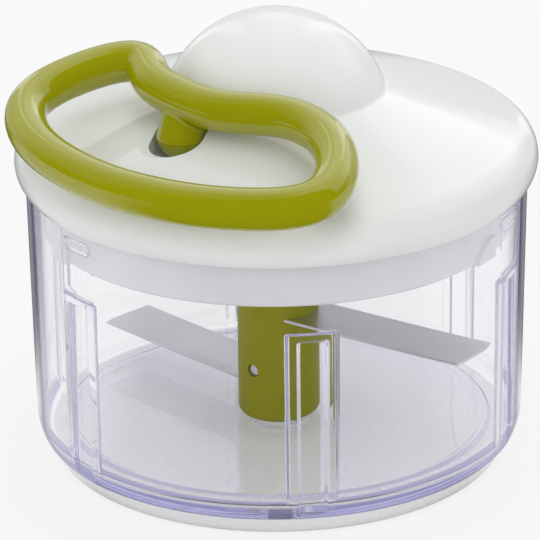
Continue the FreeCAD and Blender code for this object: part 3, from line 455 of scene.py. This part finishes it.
def make_handle_post():
    """Post that drops from the tube: round at the seam, and at its top an oval as wide as the tube.

    Each ring is centre + run x along x cos + aside x across x sin. Centre, along and across go evenly from
    the seam's circle to the oval, whose points lie on the tube's lower side. Its last rings spread along the
    tube in a hollow fillet: along grows by fillet (1 - cos t), and the fillet's depth is fillet (1 - sin t).
    """
    post = in_handle_plane(*POST_AT)
    line, direction = handle_line(720)
    nearest = np.argmin(np.hypot(*(line - post)[:, :2].T))
    top_centre, axis = line[nearest], direction[nearest]
    run = axis[:2] / np.hypot(*axis[:2])
    aside = np.array([-run[1], run[0]])
    slope = axis[2] / np.hypot(*axis[:2])
    turn = even_turn(96)

    def flat_ring(centre, along, across):
        return centre[:2] + run * (along * np.cos(turn))[:, None] + aside * (across * np.sin(turn))[:, None]

    def under_tube(flat, lift):
        """The ring's points on the tube's lower side, less the lift."""
        off = flat - top_centre[:2]
        side = np.minimum(np.abs(off @ aside), TUBE_R - 2 * TUBE_BITE)
        under = top_centre[2] + (off @ run) * slope - np.sqrt(TUBE_R ** 2 - side ** 2)
        return np.column_stack([flat, under + TUBE_BITE - lift])

    def level_ring(radius, z):
        return np.column_stack([flat_ring(post, radius, radius), np.full(len(turn), z)])

    foot_z = POST_SEAM_Z + SEAM_ROUND
    quarter = np.linspace(0, math.pi / 2, 6)[:-1]
    lip = [level_ring(POST_R - SEAM_ROUND * (1 - math.sin(t)), foot_z - SEAM_ROUND * math.cos(t))
           for t in quarter]
    start = level_ring(POST_R, foot_z)
    top = under_tube(flat_ring(top_centre, POST_ALONG, POST_ACROSS), POST_FILLET)
    share = np.linspace(0, 1, 16)[:, None, None]
    column = start * (1 - share) + top * share
    fillet = [under_tube(flat_ring(top_centre, POST_ALONG + POST_FILLET * (1 - math.cos(t)),
                                   POST_ACROSS + FILLET_SPREAD * t), POST_FILLET * (1 - math.sin(t)))
              for t in np.linspace(0, math.pi / 2, 9)[1:]]
    bore = [level_ring(CORD_BORE_R, POST_SEAM_Z)]
    return closed_grid("handle_post", np.concatenate([bore, lip, column, fillet]))


def make_handle_plug():
    """Rounded lower end of the post, bored for the cord.

    Its flank's radius is a parabola from the tip's, through PLUG_SWELL less than the post's, to the post's.
    """
    post = in_handle_plane(*POST_AT)
    seam_z = POST_SEAM_Z - SEAM_GAP
    low_z = PLUG_TIP_Z + TIP_CUT_Z
    t = np.linspace(0, 1, 14)
    waist = 2 * (POST_R - PLUG_SWELL) - (PLUG_TIP_R + POST_R) / 2
    flank_r = (1 - t) ** 2 * PLUG_TIP_R + 2 * t * (1 - t) * waist + t ** 2 * (POST_R - PLUG_INSET)
    flank_z = low_z + (seam_z - SEAM_ROUND - low_z) * t
    tip = [(CORD_BORE_R, seam_z), (CORD_BORE_R, PLUG_TIP_Z), (PLUG_TIP_R - TIP_CUT_R, PLUG_TIP_Z)]
    top = [(POST_R - SEAM_ROUND, seam_z), (CORD_BORE_R, seam_z)]
    grid = revolve(np.array([*tip, *np.stack([flank_r, flank_z], -1), *top]), even_turn(64))
    grid[..., :2] += post[:2]
    return put_mesh("handle_plug_end", grid.reshape(-1, 3), strip_faces(*grid.shape[:2]))


def make_handle():
    """Tube, post and plug, all on the handle."""
    tube, post, plug = make_handle_tube(), make_handle_post(), make_handle_plug()
    for piece in (tube, post, plug):
        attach(piece, "handle")
        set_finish(piece, "green_handle")
    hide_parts("handle_grip")
    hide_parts("handle_plug")
    return tube, post, plug


def make_pull_cord():
    """Upright round cord from the eyelet to the knot in the post, with rings close enough to be drawn out."""
    post = in_handle_plane(*POST_AT)
    z = np.linspace(CORD_EYE_Z, POST_SEAM_Z, 90)
    grid = revolve(np.stack([np.full(len(z), CORD_R), z], -1), even_turn(20))
    grid[..., :2] += post[:2]
    cord = closed_grid("pull_cord_line", grid)
    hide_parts("pull_cord")
    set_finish(cord, "cord")
    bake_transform(cord)
    return cord


# --- Camera -------------------------------------------------------------------------------------------------
CAMERA_AWAY = 1207.0 * MM      # from the aim point to the lens
CAMERA_ELEVATION = 22.79       # degrees above the horizon
CAMERA_ROLL = -0.68            # degrees
AIM_Z = 45.87 * MM             # height of the aim point on the bowl's axis
SENSOR = 36.0                  # millimetres
LENS = 320.93                  # millimetres
SHIFT_X = -0.01413             # of the frame's width


def add_camera():
    """Camera at the front, looking down on the chopper at the aim point."""
    data = bpy.data.cameras.new("camera")
    data.sensor_width = SENSOR
    data.lens = LENS
    data.shift_x = SHIFT_X
    data.clip_start = 0.05
    data.clip_end = 20.0
    camera = bpy.data.objects.new("camera", data)
    up = math.radians(CAMERA_ELEVATION)
    camera.location = (0, -CAMERA_AWAY * math.cos(up), AIM_Z + CAMERA_AWAY * math.sin(up))
    look = Euler((math.pi / 2 - up, 0, 0)).to_matrix()
    roll = Matrix.Rotation(math.radians(CAMERA_ROLL), 3, "Z")
    camera.rotation_euler = (look @ roll).to_euler()
    bpy.context.scene.collection.objects.link(camera)
    bpy.context.scene.camera = camera


# --- Materials ----------------------------------------------------------------------------------------------

def linear(hex_colour):
    """Linear RGBA of an sRGB hex colour."""
    channels = np.array([int(hex_colour[i:i + 2], 16) for i in (1, 3, 5)]) / 255
    low = channels / 12.92
    high = ((channels + 0.055) / 1.055) ** 2.4
    return (*np.where(channels <= 0.04045, low, high), 1.0)


def add_node(tree, kind, settings=None, **inputs):
    """Node with its settings, its sockets set to values or linked to other sockets."""
    node = tree.nodes.new("ShaderNode" + kind)
    for name, value in (settings or {}).items():
        setattr(node, name, value)
    for name, value in inputs.items():
        key = int(name[1:]) if name[0] == "_" else name.replace("_", " ")
        if isinstance(value, bpy.types.NodeSocket):
            tree.links.new(value, node.inputs[key])
        else:
            node.inputs[key].default_value = value
    return node


def new_tree(name):
    """Material and its empty node tree."""
    made = bpy.data.materials.new(name)
    made.use_nodes = True
    made.node_tree.nodes.clear()
    return made, made.node_tree


def grain(tree, size, stretch=(1, 1, 1), turn=0.0, detail=3.0):
    """Noise from 0 to 1 on the piece's own coordinates: grains of that size in millimetres, drawn out along
    each axis by the stretch once the piece is turned by that many degrees about Z."""
    place = add_node(tree, "TexCoord")
    turned = add_node(tree, "Mapping", None, Vector=place.outputs["Object"],
                      Rotation=(0, 0, math.radians(turn)))
    drawn = add_node(tree, "Mapping", None, Vector=turned.outputs[0], Scale=tuple(1 / way for way in stretch))
    noise = add_node(tree, "TexNoise", None, Vector=drawn.outputs[0], Scale=1 / (size * MM), Detail=detail)
    return noise.outputs[0]


def set_stops(ramp, stops):
    """Gives a colour ramp these stops alone, in rising order: a place from 0 to 1 and an sRGB hex colour."""
    while len(ramp.elements) < len(stops):
        ramp.elements.new(1.0)
    for stop, (place, colour) in zip(ramp.elements, stops):
        stop.position = place
        stop.color = linear(colour)


NOISE_LOW, NOISE_HIGH = 0.3, 0.7   # most of a noise lies between these


def skinned(tree, clouds, colours, skin, roughness, depth, below=None, **shader):
    """Principled shader of a surface that is nearly even.

    Its colour drifts from the first to the second sRGB hex colour with the clouds. Its roughness, from the
    first value to the second, and its relief, that deep in millimetres, follow the skin. The relief lies on
    top of the one below, where there is one. What else the shader needs is set on its own sockets.
    """
    drift = add_node(tree, "ValToRGB", None, Fac=clouds)
    set_stops(drift.color_ramp, ((NOISE_LOW, colours[0]), (NOISE_HIGH, colours[1])))
    dulling = add_node(tree, "MapRange", None, Value=skin, From_Min=NOISE_LOW, From_Max=NOISE_HIGH,
                       To_Min=roughness[0], To_Max=roughness[1])
    relief = add_node(tree, "Bump", None, Height=skin, Distance=depth * MM, Strength=1.0)
    if below:
        tree.links.new(below, relief.inputs["Normal"])
    return add_node(tree, "BsdfPrincipled", None, Base_Color=drift.outputs[0], Roughness=dulling.outputs[0],
                    Normal=relief.outputs[0], **shader)


def let_lamps_through(tree, surface, colour):
    """Lamps shine through each face by that linear colour; everything else sees the surface."""
    rays = add_node(tree, "LightPath")
    clear = add_node(tree, "BsdfTransparent", None, Color=colour)
    return add_node(tree, "MixShader", None, _0=rays.outputs["Is Shadow Ray"], _1=surface.outputs[0],
                    _2=clear.outputs[0])


FLANK_HAZE = 0.36              # how much the flutes' flanks scatter, where the melt was stretched
DEEP_BOUNCE = 5.5              # a ray caught inside for longer ends on a painted glow, even pale violet, in place of the light it would still gather
DULLED_BOUNCES = 2.0           # and one that a matt surface has scattered ends on a painted white glow, this much later
EDGE_PAINTED_SHADE = (                 # painted shade by how edge on a face is seen: clear, then a narrow inky band, then pale
    (0.66, "#FFFFFF"), (0.74, "#E6E7EF"), (0.775, "#B8B8C8"), (0.80, "#3C3B52"), (0.82, "#343349"),
    (0.85, "#6E6B80"), (0.91, "#C4BEC6"),
)


def clear_san():
    """SAN (styrene acrylonitrile), injection moulded in a polished mould.

    Clear and hard, with sharp reflections that waver a little where the melt flowed. Its bulk is faintly
    violet, so it looks lavender through an edge. Where the wall is seen edge on, its colour is painted shade,
    a narrow inky band. A ray caught inside for long ends on a painted glow. Lamps reach through.
    """
    made, tree = new_tree("clear_san")
    # Painted shade: the glass colour turns inky where a face is seen edge on, standing in for dark
    # surroundings at the wall's edges.
    edge_on = add_node(tree, "LayerWeight", None, Blend=0.5)
    painted_edge_shade = add_node(tree, "ValToRGB", None, Fac=edge_on.outputs["Facing"])
    set_stops(painted_edge_shade.color_ramp, EDGE_PAINTED_SHADE)
    flow = grain(tree, 14.0, stretch=(1, 1, 3), detail=1.0)
    wavering = add_node(tree, "Bump", None, Height=flow, Distance=0.012 * MM, Strength=1.0)
    clear = add_node(tree, "BsdfPrincipled", None, Base_Color=painted_edge_shade.outputs["Color"], Roughness=0.01, IOR=1.57,
                     Transmission_Weight=1.0, Normal=wavering.outputs[0])

    flank = add_node(tree, "Attribute", {"attribute_name": "flank"})
    haze = add_node(tree, "Math", {"operation": "MULTIPLY"}, _0=flank.outputs["Fac"], _1=FLANK_HAZE)
    milk = add_node(tree, "BsdfDiffuse", None, Color=linear("#BCB9DC"))
    hazy = add_node(tree, "MixShader", None, _0=haze.outputs[0], _1=clear.outputs[0], _2=milk.outputs[0])

    # Painted glow: a ray past the depth limit ends on an emission, pale violet, or white once a matt surface
    # has scattered it.
    rays = add_node(tree, "LightPath")
    dulled = add_node(tree, "Math", {"operation": "GREATER_THAN"}, _0=rays.outputs["Diffuse Depth"], _1=0.5)
    limit = add_node(tree, "Math", {"operation": "MULTIPLY_ADD"}, _0=dulled.outputs[0], _1=DULLED_BOUNCES,
                     _2=DEEP_BOUNCE)
    deep = add_node(tree, "Math", {"operation": "GREATER_THAN"}, _0=rays.outputs["Ray Depth"],
                    _1=limit.outputs[0])
    painted_glow_colour = add_node(tree, "MixRGB", None, Fac=dulled.outputs[0], Color1=linear("#C1C0D0"),
                    Color2=linear("#FCFCFA"))
    glow = add_node(tree, "Emission", None, Color=painted_glow_colour.outputs[0], Strength=1.0)
    whole = add_node(tree, "MixShader", None, _0=deep.outputs[0], _1=hazy.outputs[0], _2=glow.outputs[0])

    inside = add_node(tree, "VolumeAbsorption", None, Color=linear("#CFCDF0"), Density=13.0)
    shown = let_lamps_through(tree, whole, linear("#FCFCFD"))
    add_node(tree, "OutputMaterial", None, Surface=shown.outputs[0], Volume=inside.outputs[0])
    return made


def glossy_abs(name, colours, roughness, shine, through=None):
    """ABS, injection moulded and polished.

    Even in colour, with clear soft reflections; a faint waviness of a few millimetres keeps them from looking
    like glass. Where it is white, a share of the lamps' light comes through each of its faces.
    """
    made, tree = new_tree(name)
    waves = grain(tree, 9.0, detail=1.0)
    wavy = add_node(tree, "Bump", None, Height=waves, Distance=0.008 * MM, Strength=1.0)
    surface = skinned(tree, grain(tree, 40.0, detail=1.0), colours, grain(tree, 0.8, detail=2.0), roughness,
                      depth=0.0008, below=wavy.outputs[0], IOR=1.54, Specular_IOR_Level=shine)
    if through:
        surface = let_lamps_through(tree, surface, (through, through, through, 1))
    add_node(tree, "OutputMaterial", None, Surface=surface.outputs[0])
    return made


def satin_abs(name, colours, roughness, shine):
    """ABS moulded against a spark-eroded steel: matt in close up, with a soft wide sheen along a round part.

    The pits are 0.1 mm across on the real part and are drawn at 0.5 mm so that they show.
    """
    made, tree = new_tree(name)
    surface = skinned(tree, grain(tree, 18.0, detail=2.0), colours, grain(tree, 0.5, detail=2.0), roughness,
                      depth=0.008, IOR=1.54, Specular_IOR_Level=shine)
    add_node(tree, "OutputMaterial", None, Surface=surface.outputs[0])
    return made


def rubbery(name, colours, roughness, grain_mm):
    """Soft moulded elastomer, such as TPE or silicone: pale, with a dull skin and a low broad sheen."""
    made, tree = new_tree(name)
    surface = skinned(tree, grain(tree, 25.0, detail=1.0), colours, grain(tree, grain_mm, detail=3.0),
                      roughness, depth=0.004, IOR=1.43)
    add_node(tree, "OutputMaterial", None, Surface=surface.outputs[0])
    return made


def bearing_plastic(name, colours, roughness):
    """Acetal or nylon, moulded and slippery: milky, waxy and slightly mottled."""
    made, tree = new_tree(name)
    surface = skinned(tree, grain(tree, 6.0, detail=2.0), colours, grain(tree, 0.7, detail=2.0), roughness,
                      depth=0.003, IOR=1.48, Subsurface_Weight=0.1, Subsurface_Scale=0.001)
    add_node(tree, "OutputMaterial", None, Surface=surface.outputs[0])
    return made


def ground_blade_steel(name, degrees):
    """Stainless steel strip, rolled and then ground lengthwise with a fine belt.

    The scratches run along the blade and draw reflections out across it. They are 0.05 mm apart on the real
    blade and are drawn 0.35 mm apart so that they show.
    """
    made, tree = new_tree(name)
    scratches = grain(tree, 0.35, stretch=(90, 1, 1), turn=-degrees, detail=2.0)
    clouds = grain(tree, 16.0, stretch=(2, 1, 1), turn=-degrees, detail=1.0)
    surface = skinned(tree, clouds, ("#C9CACD", "#D3D4D7"), scratches, (0.28, 0.38), depth=0.0025,
                      Metallic=1.0)
    add_node(tree, "OutputMaterial", None, Surface=surface.outputs[0])
    return made


def turned_steel(name, colours, roughness):
    """Steel turned on a lathe: bright, with fine rings round the axis.

    The rings follow the height. They are 0.05 mm apart on the real part and are drawn 0.3 mm apart.
    """
    made, tree = new_tree(name)
    rings = grain(tree, 0.3, stretch=(60, 60, 1), detail=1.0)
    clouds = grain(tree, 9.0, detail=2.0)
    surface = skinned(tree, clouds, colours, rings, roughness, depth=0.002, Metallic=1.0)
    add_node(tree, "OutputMaterial", None, Surface=surface.outputs[0])
    return made


BRAID_STRANDS = 4.0            # of each set, round the cord
BRAID_PITCH = 2.8              # millimetres for one wave of a strand along the cord


def braided_cord(name, centre):
    """Braided polyester cord: two sets of strands that cross every 1.4 mm, dull with a slight silkiness.

    Height = sin(strands x angle + pitch x z) x sin(strands x angle - pitch x z), about the cord's own axis.
    Where the height is low the colour is darker: painted shade in the braid's hollows.
    """
    made, tree = new_tree(name)
    place = add_node(tree, "TexCoord")
    off = add_node(tree, "VectorMath", {"operation": "SUBTRACT"}, _0=place.outputs["Object"], _1=(*centre, 0))
    parts = add_node(tree, "SeparateXYZ", None, Vector=off.outputs[0])
    angle = add_node(tree, "Math", {"operation": "ARCTAN2"}, _0=parts.outputs["Y"], _1=parts.outputs["X"])
    around = add_node(tree, "Math", {"operation": "MULTIPLY"}, _0=angle.outputs[0], _1=BRAID_STRANDS)
    up = add_node(tree, "Math", {"operation": "MULTIPLY"}, _0=parts.outputs["Z"],
                  _1=FULL_TURN / (BRAID_PITCH * MM))
    waves = []
    for way in ("ADD", "SUBTRACT"):
        phase = add_node(tree, "Math", {"operation": way}, _0=around.outputs[0], _1=up.outputs[0])
        waves.append(add_node(tree, "Math", {"operation": "SINE"}, _0=phase.outputs[0]).outputs[0])
    crossing = add_node(tree, "Math", {"operation": "MULTIPLY"}, _0=waves[0], _1=waves[1])
    # Painted shade: the braid's low hollows are painted darker than its crowns.
    colour = add_node(tree, "ValToRGB", None, Fac=crossing.outputs[0])
    set_stops(colour.color_ramp, ((0.0, "#C9C8C2"), (0.6, "#F1F0EB")))
    relief = add_node(tree, "Bump", None, Height=crossing.outputs[0], Distance=0.12 * MM, Strength=1.0)
    surface = add_node(tree, "BsdfPrincipled", None, Base_Color=colour.outputs[0], Roughness=0.75, IOR=1.5,
                       Sheen_Weight=0.3, Normal=relief.outputs[0])
    add_node(tree, "OutputMaterial", None, Surface=surface.outputs[0])
    return made


UPPER_BLADE_DEG = -34.7
LOWER_BLADE_DEG = 133.7

LOOKS = {                      # colours, then lowest and highest roughness
    "clear_bowl": clear_san(),
    "foot": rubbery("foot_tpe", ("#F6F6F8", "#FAFAFB"), (0.255, 0.345), 1.1),
    "steel": turned_steel("turned_steel", ("#C2C2C6", "#CFCFD2"), (0.2, 0.32)),
    "spring_steel": turned_steel("blued_spring_steel", ("#5F6672", "#7B8088"), (0.28, 0.4)),
    "bearing": bearing_plastic("acetal", ("#DEDEDA", "#E8E8E4"), (0.2975, 0.4025)),
    "reel": bearing_plastic("nylon", ("#D4D4D2", "#DEDEDC"), (0.357, 0.483)),
    "green_hub": satin_abs("green_hub_abs", ("#8E8C03", "#949304"), (0.357, 0.504), shine=0.15),
    "green_handle": glossy_abs("green_handle_abs", ("#9C9C02", "#A0A003"), (0.034, 0.046), shine=0.75),
    "white_lid": glossy_abs("white_abs", ("#ECEEED", "#EFF1F0"), (0.085, 0.115), shine=0.2, through=0.72),
    "seal": rubbery("silicone", ("#E6E6E6", "#EDEDED"), (0.425, 0.575), 0.9),
    "cord": braided_cord("braided_cord", in_handle_plane(*POST_AT)[:2] * MM),
}
NODE_LOOKS = {
    # Painted light: the skirt is the lid's white ABS made paler and shinier, to stand in for light reaching
    # it under the lid.
    "lid_skirt": glossy_abs("white_abs_skirt_painted_light", ("#F4F5F8", "#F7F8FA"), (0.102, 0.138), shine=0.3,
                            through=0.72),
    "blade_upper": ground_blade_steel("upper_blade_steel", UPPER_BLADE_DEG),
    "blade_lower": ground_blade_steel("lower_blade_steel", LOWER_BLADE_DEG),
}

node_slots = {part["node"]: part["material_slot"] for part in frame["record"]["subparts"]}
for node, shape in frame["nodes"].items():
    shape.data.materials.clear()
    shape.data.materials.append(NODE_LOOKS.get(node) or LOOKS[node_slots[node]])
    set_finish(shape, node_slots[node])

for piece in (make_bowl(), make_foot(), *make_handle(), make_pull_cord()):
    piece.data.materials.append(LOOKS[piece["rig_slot"]])


# --- Floor and light ----------------------------------------------------------------------------------------
BOARD = 0.9                    # what the overhead boards add to the reflections, and at their left end
BOARD_LEFT = 0.225
STRIP = 0.8                    # and what the narrow upright boxes back left and back right add
FILL_LOW = 1.0                 # strength of the white surroundings as light, near the horizon
FILL_HIGH = 0.3                # and overhead, where the soft box is
FILL_FRONT = 0.6               # share of it that comes from the camera's side
GLOSS_NEAR = 0.04              # what reflections see of them on the camera's side
GLOSS_FAR = 0.72               # and behind the chopper
GLOSS_BESIDE = 0.9             # and of the floor to the left and right
INNER_GLOW = 1.0               # what reflections inside clear parts see of either
INNER_NEAR = 0.2               # and what they see of it on the camera's side
FLOOR_HALF = 3.0               # half the floor's length
FLOOR_DROP = 0.2               # millimetres below the foot
FLOOR_MATT = 0.25              # share of the floor that is lit and shadowed, up to FLOOR_NEAR from the axis
FLOOR_NEAR = 0.25              # beyond it the share falls, and from FLOOR_FAR on the floor glows white
FLOOR_FAR = 1.0
SMOOTH = {"interpolation_type": "SMOOTHSTEP"}


def ways_of_looking(tree):
    """Three shares, each 0 or 1, of the ray that meets a glow.

    Seen: it looks straight, or through clear parts. Inner: it comes by a reflection inside clear parts.
    Mirrored: it comes by a reflection.
    """
    rays = add_node(tree, "LightPath")
    through = rays.outputs["Is Transmission Ray"]
    undulled = add_node(tree, "Math", {"operation": "LESS_THAN"}, _0=rays.outputs["Diffuse Depth"], _1=0.5)
    turned = add_node(tree, "Math", {"operation": "GREATER_THAN"}, _0=rays.outputs["Glossy Depth"], _1=0.5)
    turned = add_node(tree, "Math", {"operation": "MULTIPLY"}, _0=undulled.outputs[0], _1=turned.outputs[0])
    inner = add_node(tree, "Math", {"operation": "MULTIPLY"}, _0=through, _1=turned.outputs[0])
    beyond = add_node(tree, "Math", {"operation": "SUBTRACT"}, _0=through, _1=inner.outputs[0])
    seen = add_node(tree, "Math", {"operation": "MAXIMUM"}, _0=rays.outputs["Is Camera Ray"],
                    _1=beyond.outputs[0])
    mirrored = add_node(tree, "Math", {"operation": "MULTIPLY"}, _0=rays.outputs["Is Glossy Ray"],
                        _1=rays.outputs["Is Reflection Ray"])
    return seen.outputs[0], inner.outputs[0], mirrored.outputs[0]


def glow_as_seen(tree, inner, mirrored, straight, reflected, inside):
    """Strength and colour of a glow: the reflected value for reflections, the inside value, faintly violet,
    for what comes by a reflection inside clear parts, and the straight value for the rest."""
    strength = add_node(tree, "Mix", {"data_type": "FLOAT"}, _0=mirrored, _2=straight, _3=reflected)
    strength = add_node(tree, "Mix", {"data_type": "FLOAT"}, _0=inner, _2=strength.outputs[0], _3=inside)
    colour = add_node(tree, "MixRGB", None, Fac=inner, Color1=(1, 1, 1, 1), Color2=linear("#F2F1F6"))
    return strength.outputs[0], colour.outputs[0]


def add_stage():
    """White floor: it glows for what looks at it, least for reflections from its near half, and keeps the
    shadows near the chopper."""
    data = bpy.data.meshes.new("floor")
    corners = [(-FLOOR_HALF, -FLOOR_HALF, 0), (FLOOR_HALF, -FLOOR_HALF, 0), (FLOOR_HALF, FLOOR_HALF, 0),
               (-FLOOR_HALF, FLOOR_HALF, 0)]
    data.from_pydata(corners, [], [(0, 1, 2, 3)])
    floor = bpy.data.objects.new("floor", data)
    floor.location.z = -FLOOR_DROP * MM
    bpy.context.scene.collection.objects.link(floor)
    made, tree = new_tree("white_floor")
    place = add_node(tree, "TexCoord")
    parts = add_node(tree, "SeparateXYZ", None, Vector=place.outputs["Object"])
    far = add_node(tree, "VectorMath", {"operation": "LENGTH"}, _0=place.outputs["Object"])
    beside = add_node(tree, "Math", {"operation": "ABSOLUTE"}, _0=parts.outputs["X"])
    beside = add_node(tree, "Math", {"operation": "DIVIDE"}, _0=beside.outputs[0], _1=far.outputs["Value"])

    values = []                # of the glow for reflections, and for reflections inside clear parts
    for near, side, side_start, side_end, back, back_start, back_end in (
            (GLOSS_NEAR, GLOSS_BESIDE, 0.76, 0.97, GLOSS_FAR, 0.15, 0.6),
            (INNER_NEAR, INNER_GLOW, 0.4, 0.8, INNER_GLOW, -0.05, 0.1)):
        by_side = add_node(tree, "MapRange", SMOOTH, Value=beside.outputs[0], From_Min=side_start,
                           From_Max=side_end, To_Min=near, To_Max=side)
        by_back = add_node(tree, "MapRange", SMOOTH, Value=parts.outputs["Y"], From_Min=back_start,
                           From_Max=back_end, To_Min=near, To_Max=back)
        values.append(add_node(tree, "Math", {"operation": "MAXIMUM"}, _0=by_side.outputs[0],
                               _1=by_back.outputs[0]).outputs[0])

    seen, inner, mirrored = ways_of_looking(tree)
    strength, colour = glow_as_seen(tree, inner, mirrored, 1.0, *values)
    shown = add_node(tree, "Math", {"operation": "MAXIMUM"}, _0=inner, _1=mirrored)
    shown = add_node(tree, "Math", {"operation": "MAXIMUM"}, _0=seen, _1=shown.outputs[0])
    matt_share = add_node(tree, "MapRange", None, Value=far.outputs["Value"], From_Min=FLOOR_NEAR,
                          From_Max=FLOOR_FAR, To_Min=FLOOR_MATT, To_Max=0.0)
    keeps = add_node(tree, "Math", {"operation": "MULTIPLY"}, _0=seen, _1=matt_share.outputs[0])
    share = add_node(tree, "Math", {"operation": "SUBTRACT"}, _0=shown.outputs[0], _1=keeps.outputs[0])
    matt = add_node(tree, "BsdfDiffuse", None, Color=linear("#F4F4F4"))
    glow = add_node(tree, "Emission", None, Color=colour, Strength=strength)
    mixed = add_node(tree, "MixShader", None, _0=share.outputs[0], _1=matt.outputs[0], _2=glow.outputs[0])
    add_node(tree, "OutputMaterial", None, Surface=mixed.outputs[0])
    data.materials.append(made)


def add_world():
    """White studio: white for what looks at it, and an even fill for matt surfaces.

    Reflections see it pale behind the chopper and dim behind the camera, with brighter boards overhead and
    two narrow upright boxes at the back. Each value goes by a part of the direction: Z for height, Y for
    behind, X for the right. Where a row of the table says None, its step starts or ends at the value that the
    steps before it gave.
    """
    world = bpy.data.worlds.new("studio")
    bpy.context.scene.world = world
    world.use_nodes = True
    tree = world.node_tree
    tree.nodes.clear()
    place = add_node(tree, "TexCoord")
    parts = add_node(tree, "SeparateXYZ", None, Vector=place.outputs["Generated"])
    right, back, up = (parts.outputs[axis] for axis in "XYZ")
    beside = add_node(tree, "Math", {"operation": "ABSOLUTE"}, _0=right).outputs[0]

    behind, board, strip, high, front, inside = [], [], [], [], [], []
    for steps, part, start, end, low, full in (
            (behind, back, 0.0, 0.55, GLOSS_NEAR, GLOSS_FAR),
            (board, right, -0.3, 0.0, BOARD_LEFT, BOARD),
            (board, back, -0.22, -0.18, 0.0, None),
            (board, up, 0.34, 0.37, 0.0, None),
            (strip, beside, 0.26, 0.28, 0.0, STRIP),
            (strip, back, 0.5, 0.55, 0.0, None),
            (strip, beside, 0.40, 0.42, None, 0.0),
            (high, up, 0.35, 0.95, FILL_LOW, FILL_HIGH),
            (front, back, -1.0, 0.1, FILL_FRONT, 1.0),
            (inside, back, -0.7, -0.1, INNER_NEAR, INNER_GLOW)):
        steps.append(add_node(
            tree, "MapRange", SMOOTH, Value=part, From_Min=start, From_Max=end,
            To_Min=steps[-1] if low is None else low, To_Max=steps[-1] if full is None else full).outputs[0])

    reflected = add_node(tree, "Math", {"operation": "ADD"}, _0=behind[-1], _1=board[-1])
    reflected = add_node(tree, "Math", {"operation": "ADD"}, _0=reflected.outputs[0], _1=strip[-1])
    fill = add_node(tree, "Math", {"operation": "MULTIPLY"}, _0=high[-1], _1=front[-1])
    seen, inner, mirrored = ways_of_looking(tree)
    straight = add_node(tree, "Math", {"operation": "MAXIMUM"}, _0=seen, _1=fill.outputs[0])
    strength, colour = glow_as_seen(tree, inner, mirrored, straight.outputs[0], reflected.outputs[0],
                                    inside[-1])
    sky = add_node(tree, "Background", None, Color=colour, Strength=strength)
    add_node(tree, "OutputWorld", None, Surface=sky.outputs[0])


def add_lamp(name, place, aim, width, length, power, mirrored=True):
    """Rectangular soft box that faces the aim point, its width level. Only a mirrored one shows in gloss."""
    data = bpy.data.lights.new(name, "AREA")
    data.shape = "RECTANGLE"
    data.size = width
    data.size_y = length
    data.energy = power
    lamp = bpy.data.objects.new(name, data)
    lamp.location = place
    lamp.rotation_euler = (Vector(aim) - Vector(place)).to_track_quat("-Z", "Y").to_euler()
    lamp.visible_glossy = mirrored
    bpy.context.scene.collection.objects.link(lamp)


add_camera()
add_stage()
add_world()
add_lamp("top_box", (0, -0.05, 0.95), aim=(0, 0, 0.05), width=0.42, length=1.7, power=4.1, mirrored=False)
add_lamp("right_box", (0.75, 0.85, 0.75), aim=(0, 0, 0.05), width=1.2, length=0.8, power=0.8)
add_lamp("front_fill", (-0.2, -1.3, 0.5), aim=(0, 0, 0.03), width=2.2, length=0.8, power=3.6, mirrored=False)

scene = bpy.context.scene
scene.view_settings.view_transform = "Standard"
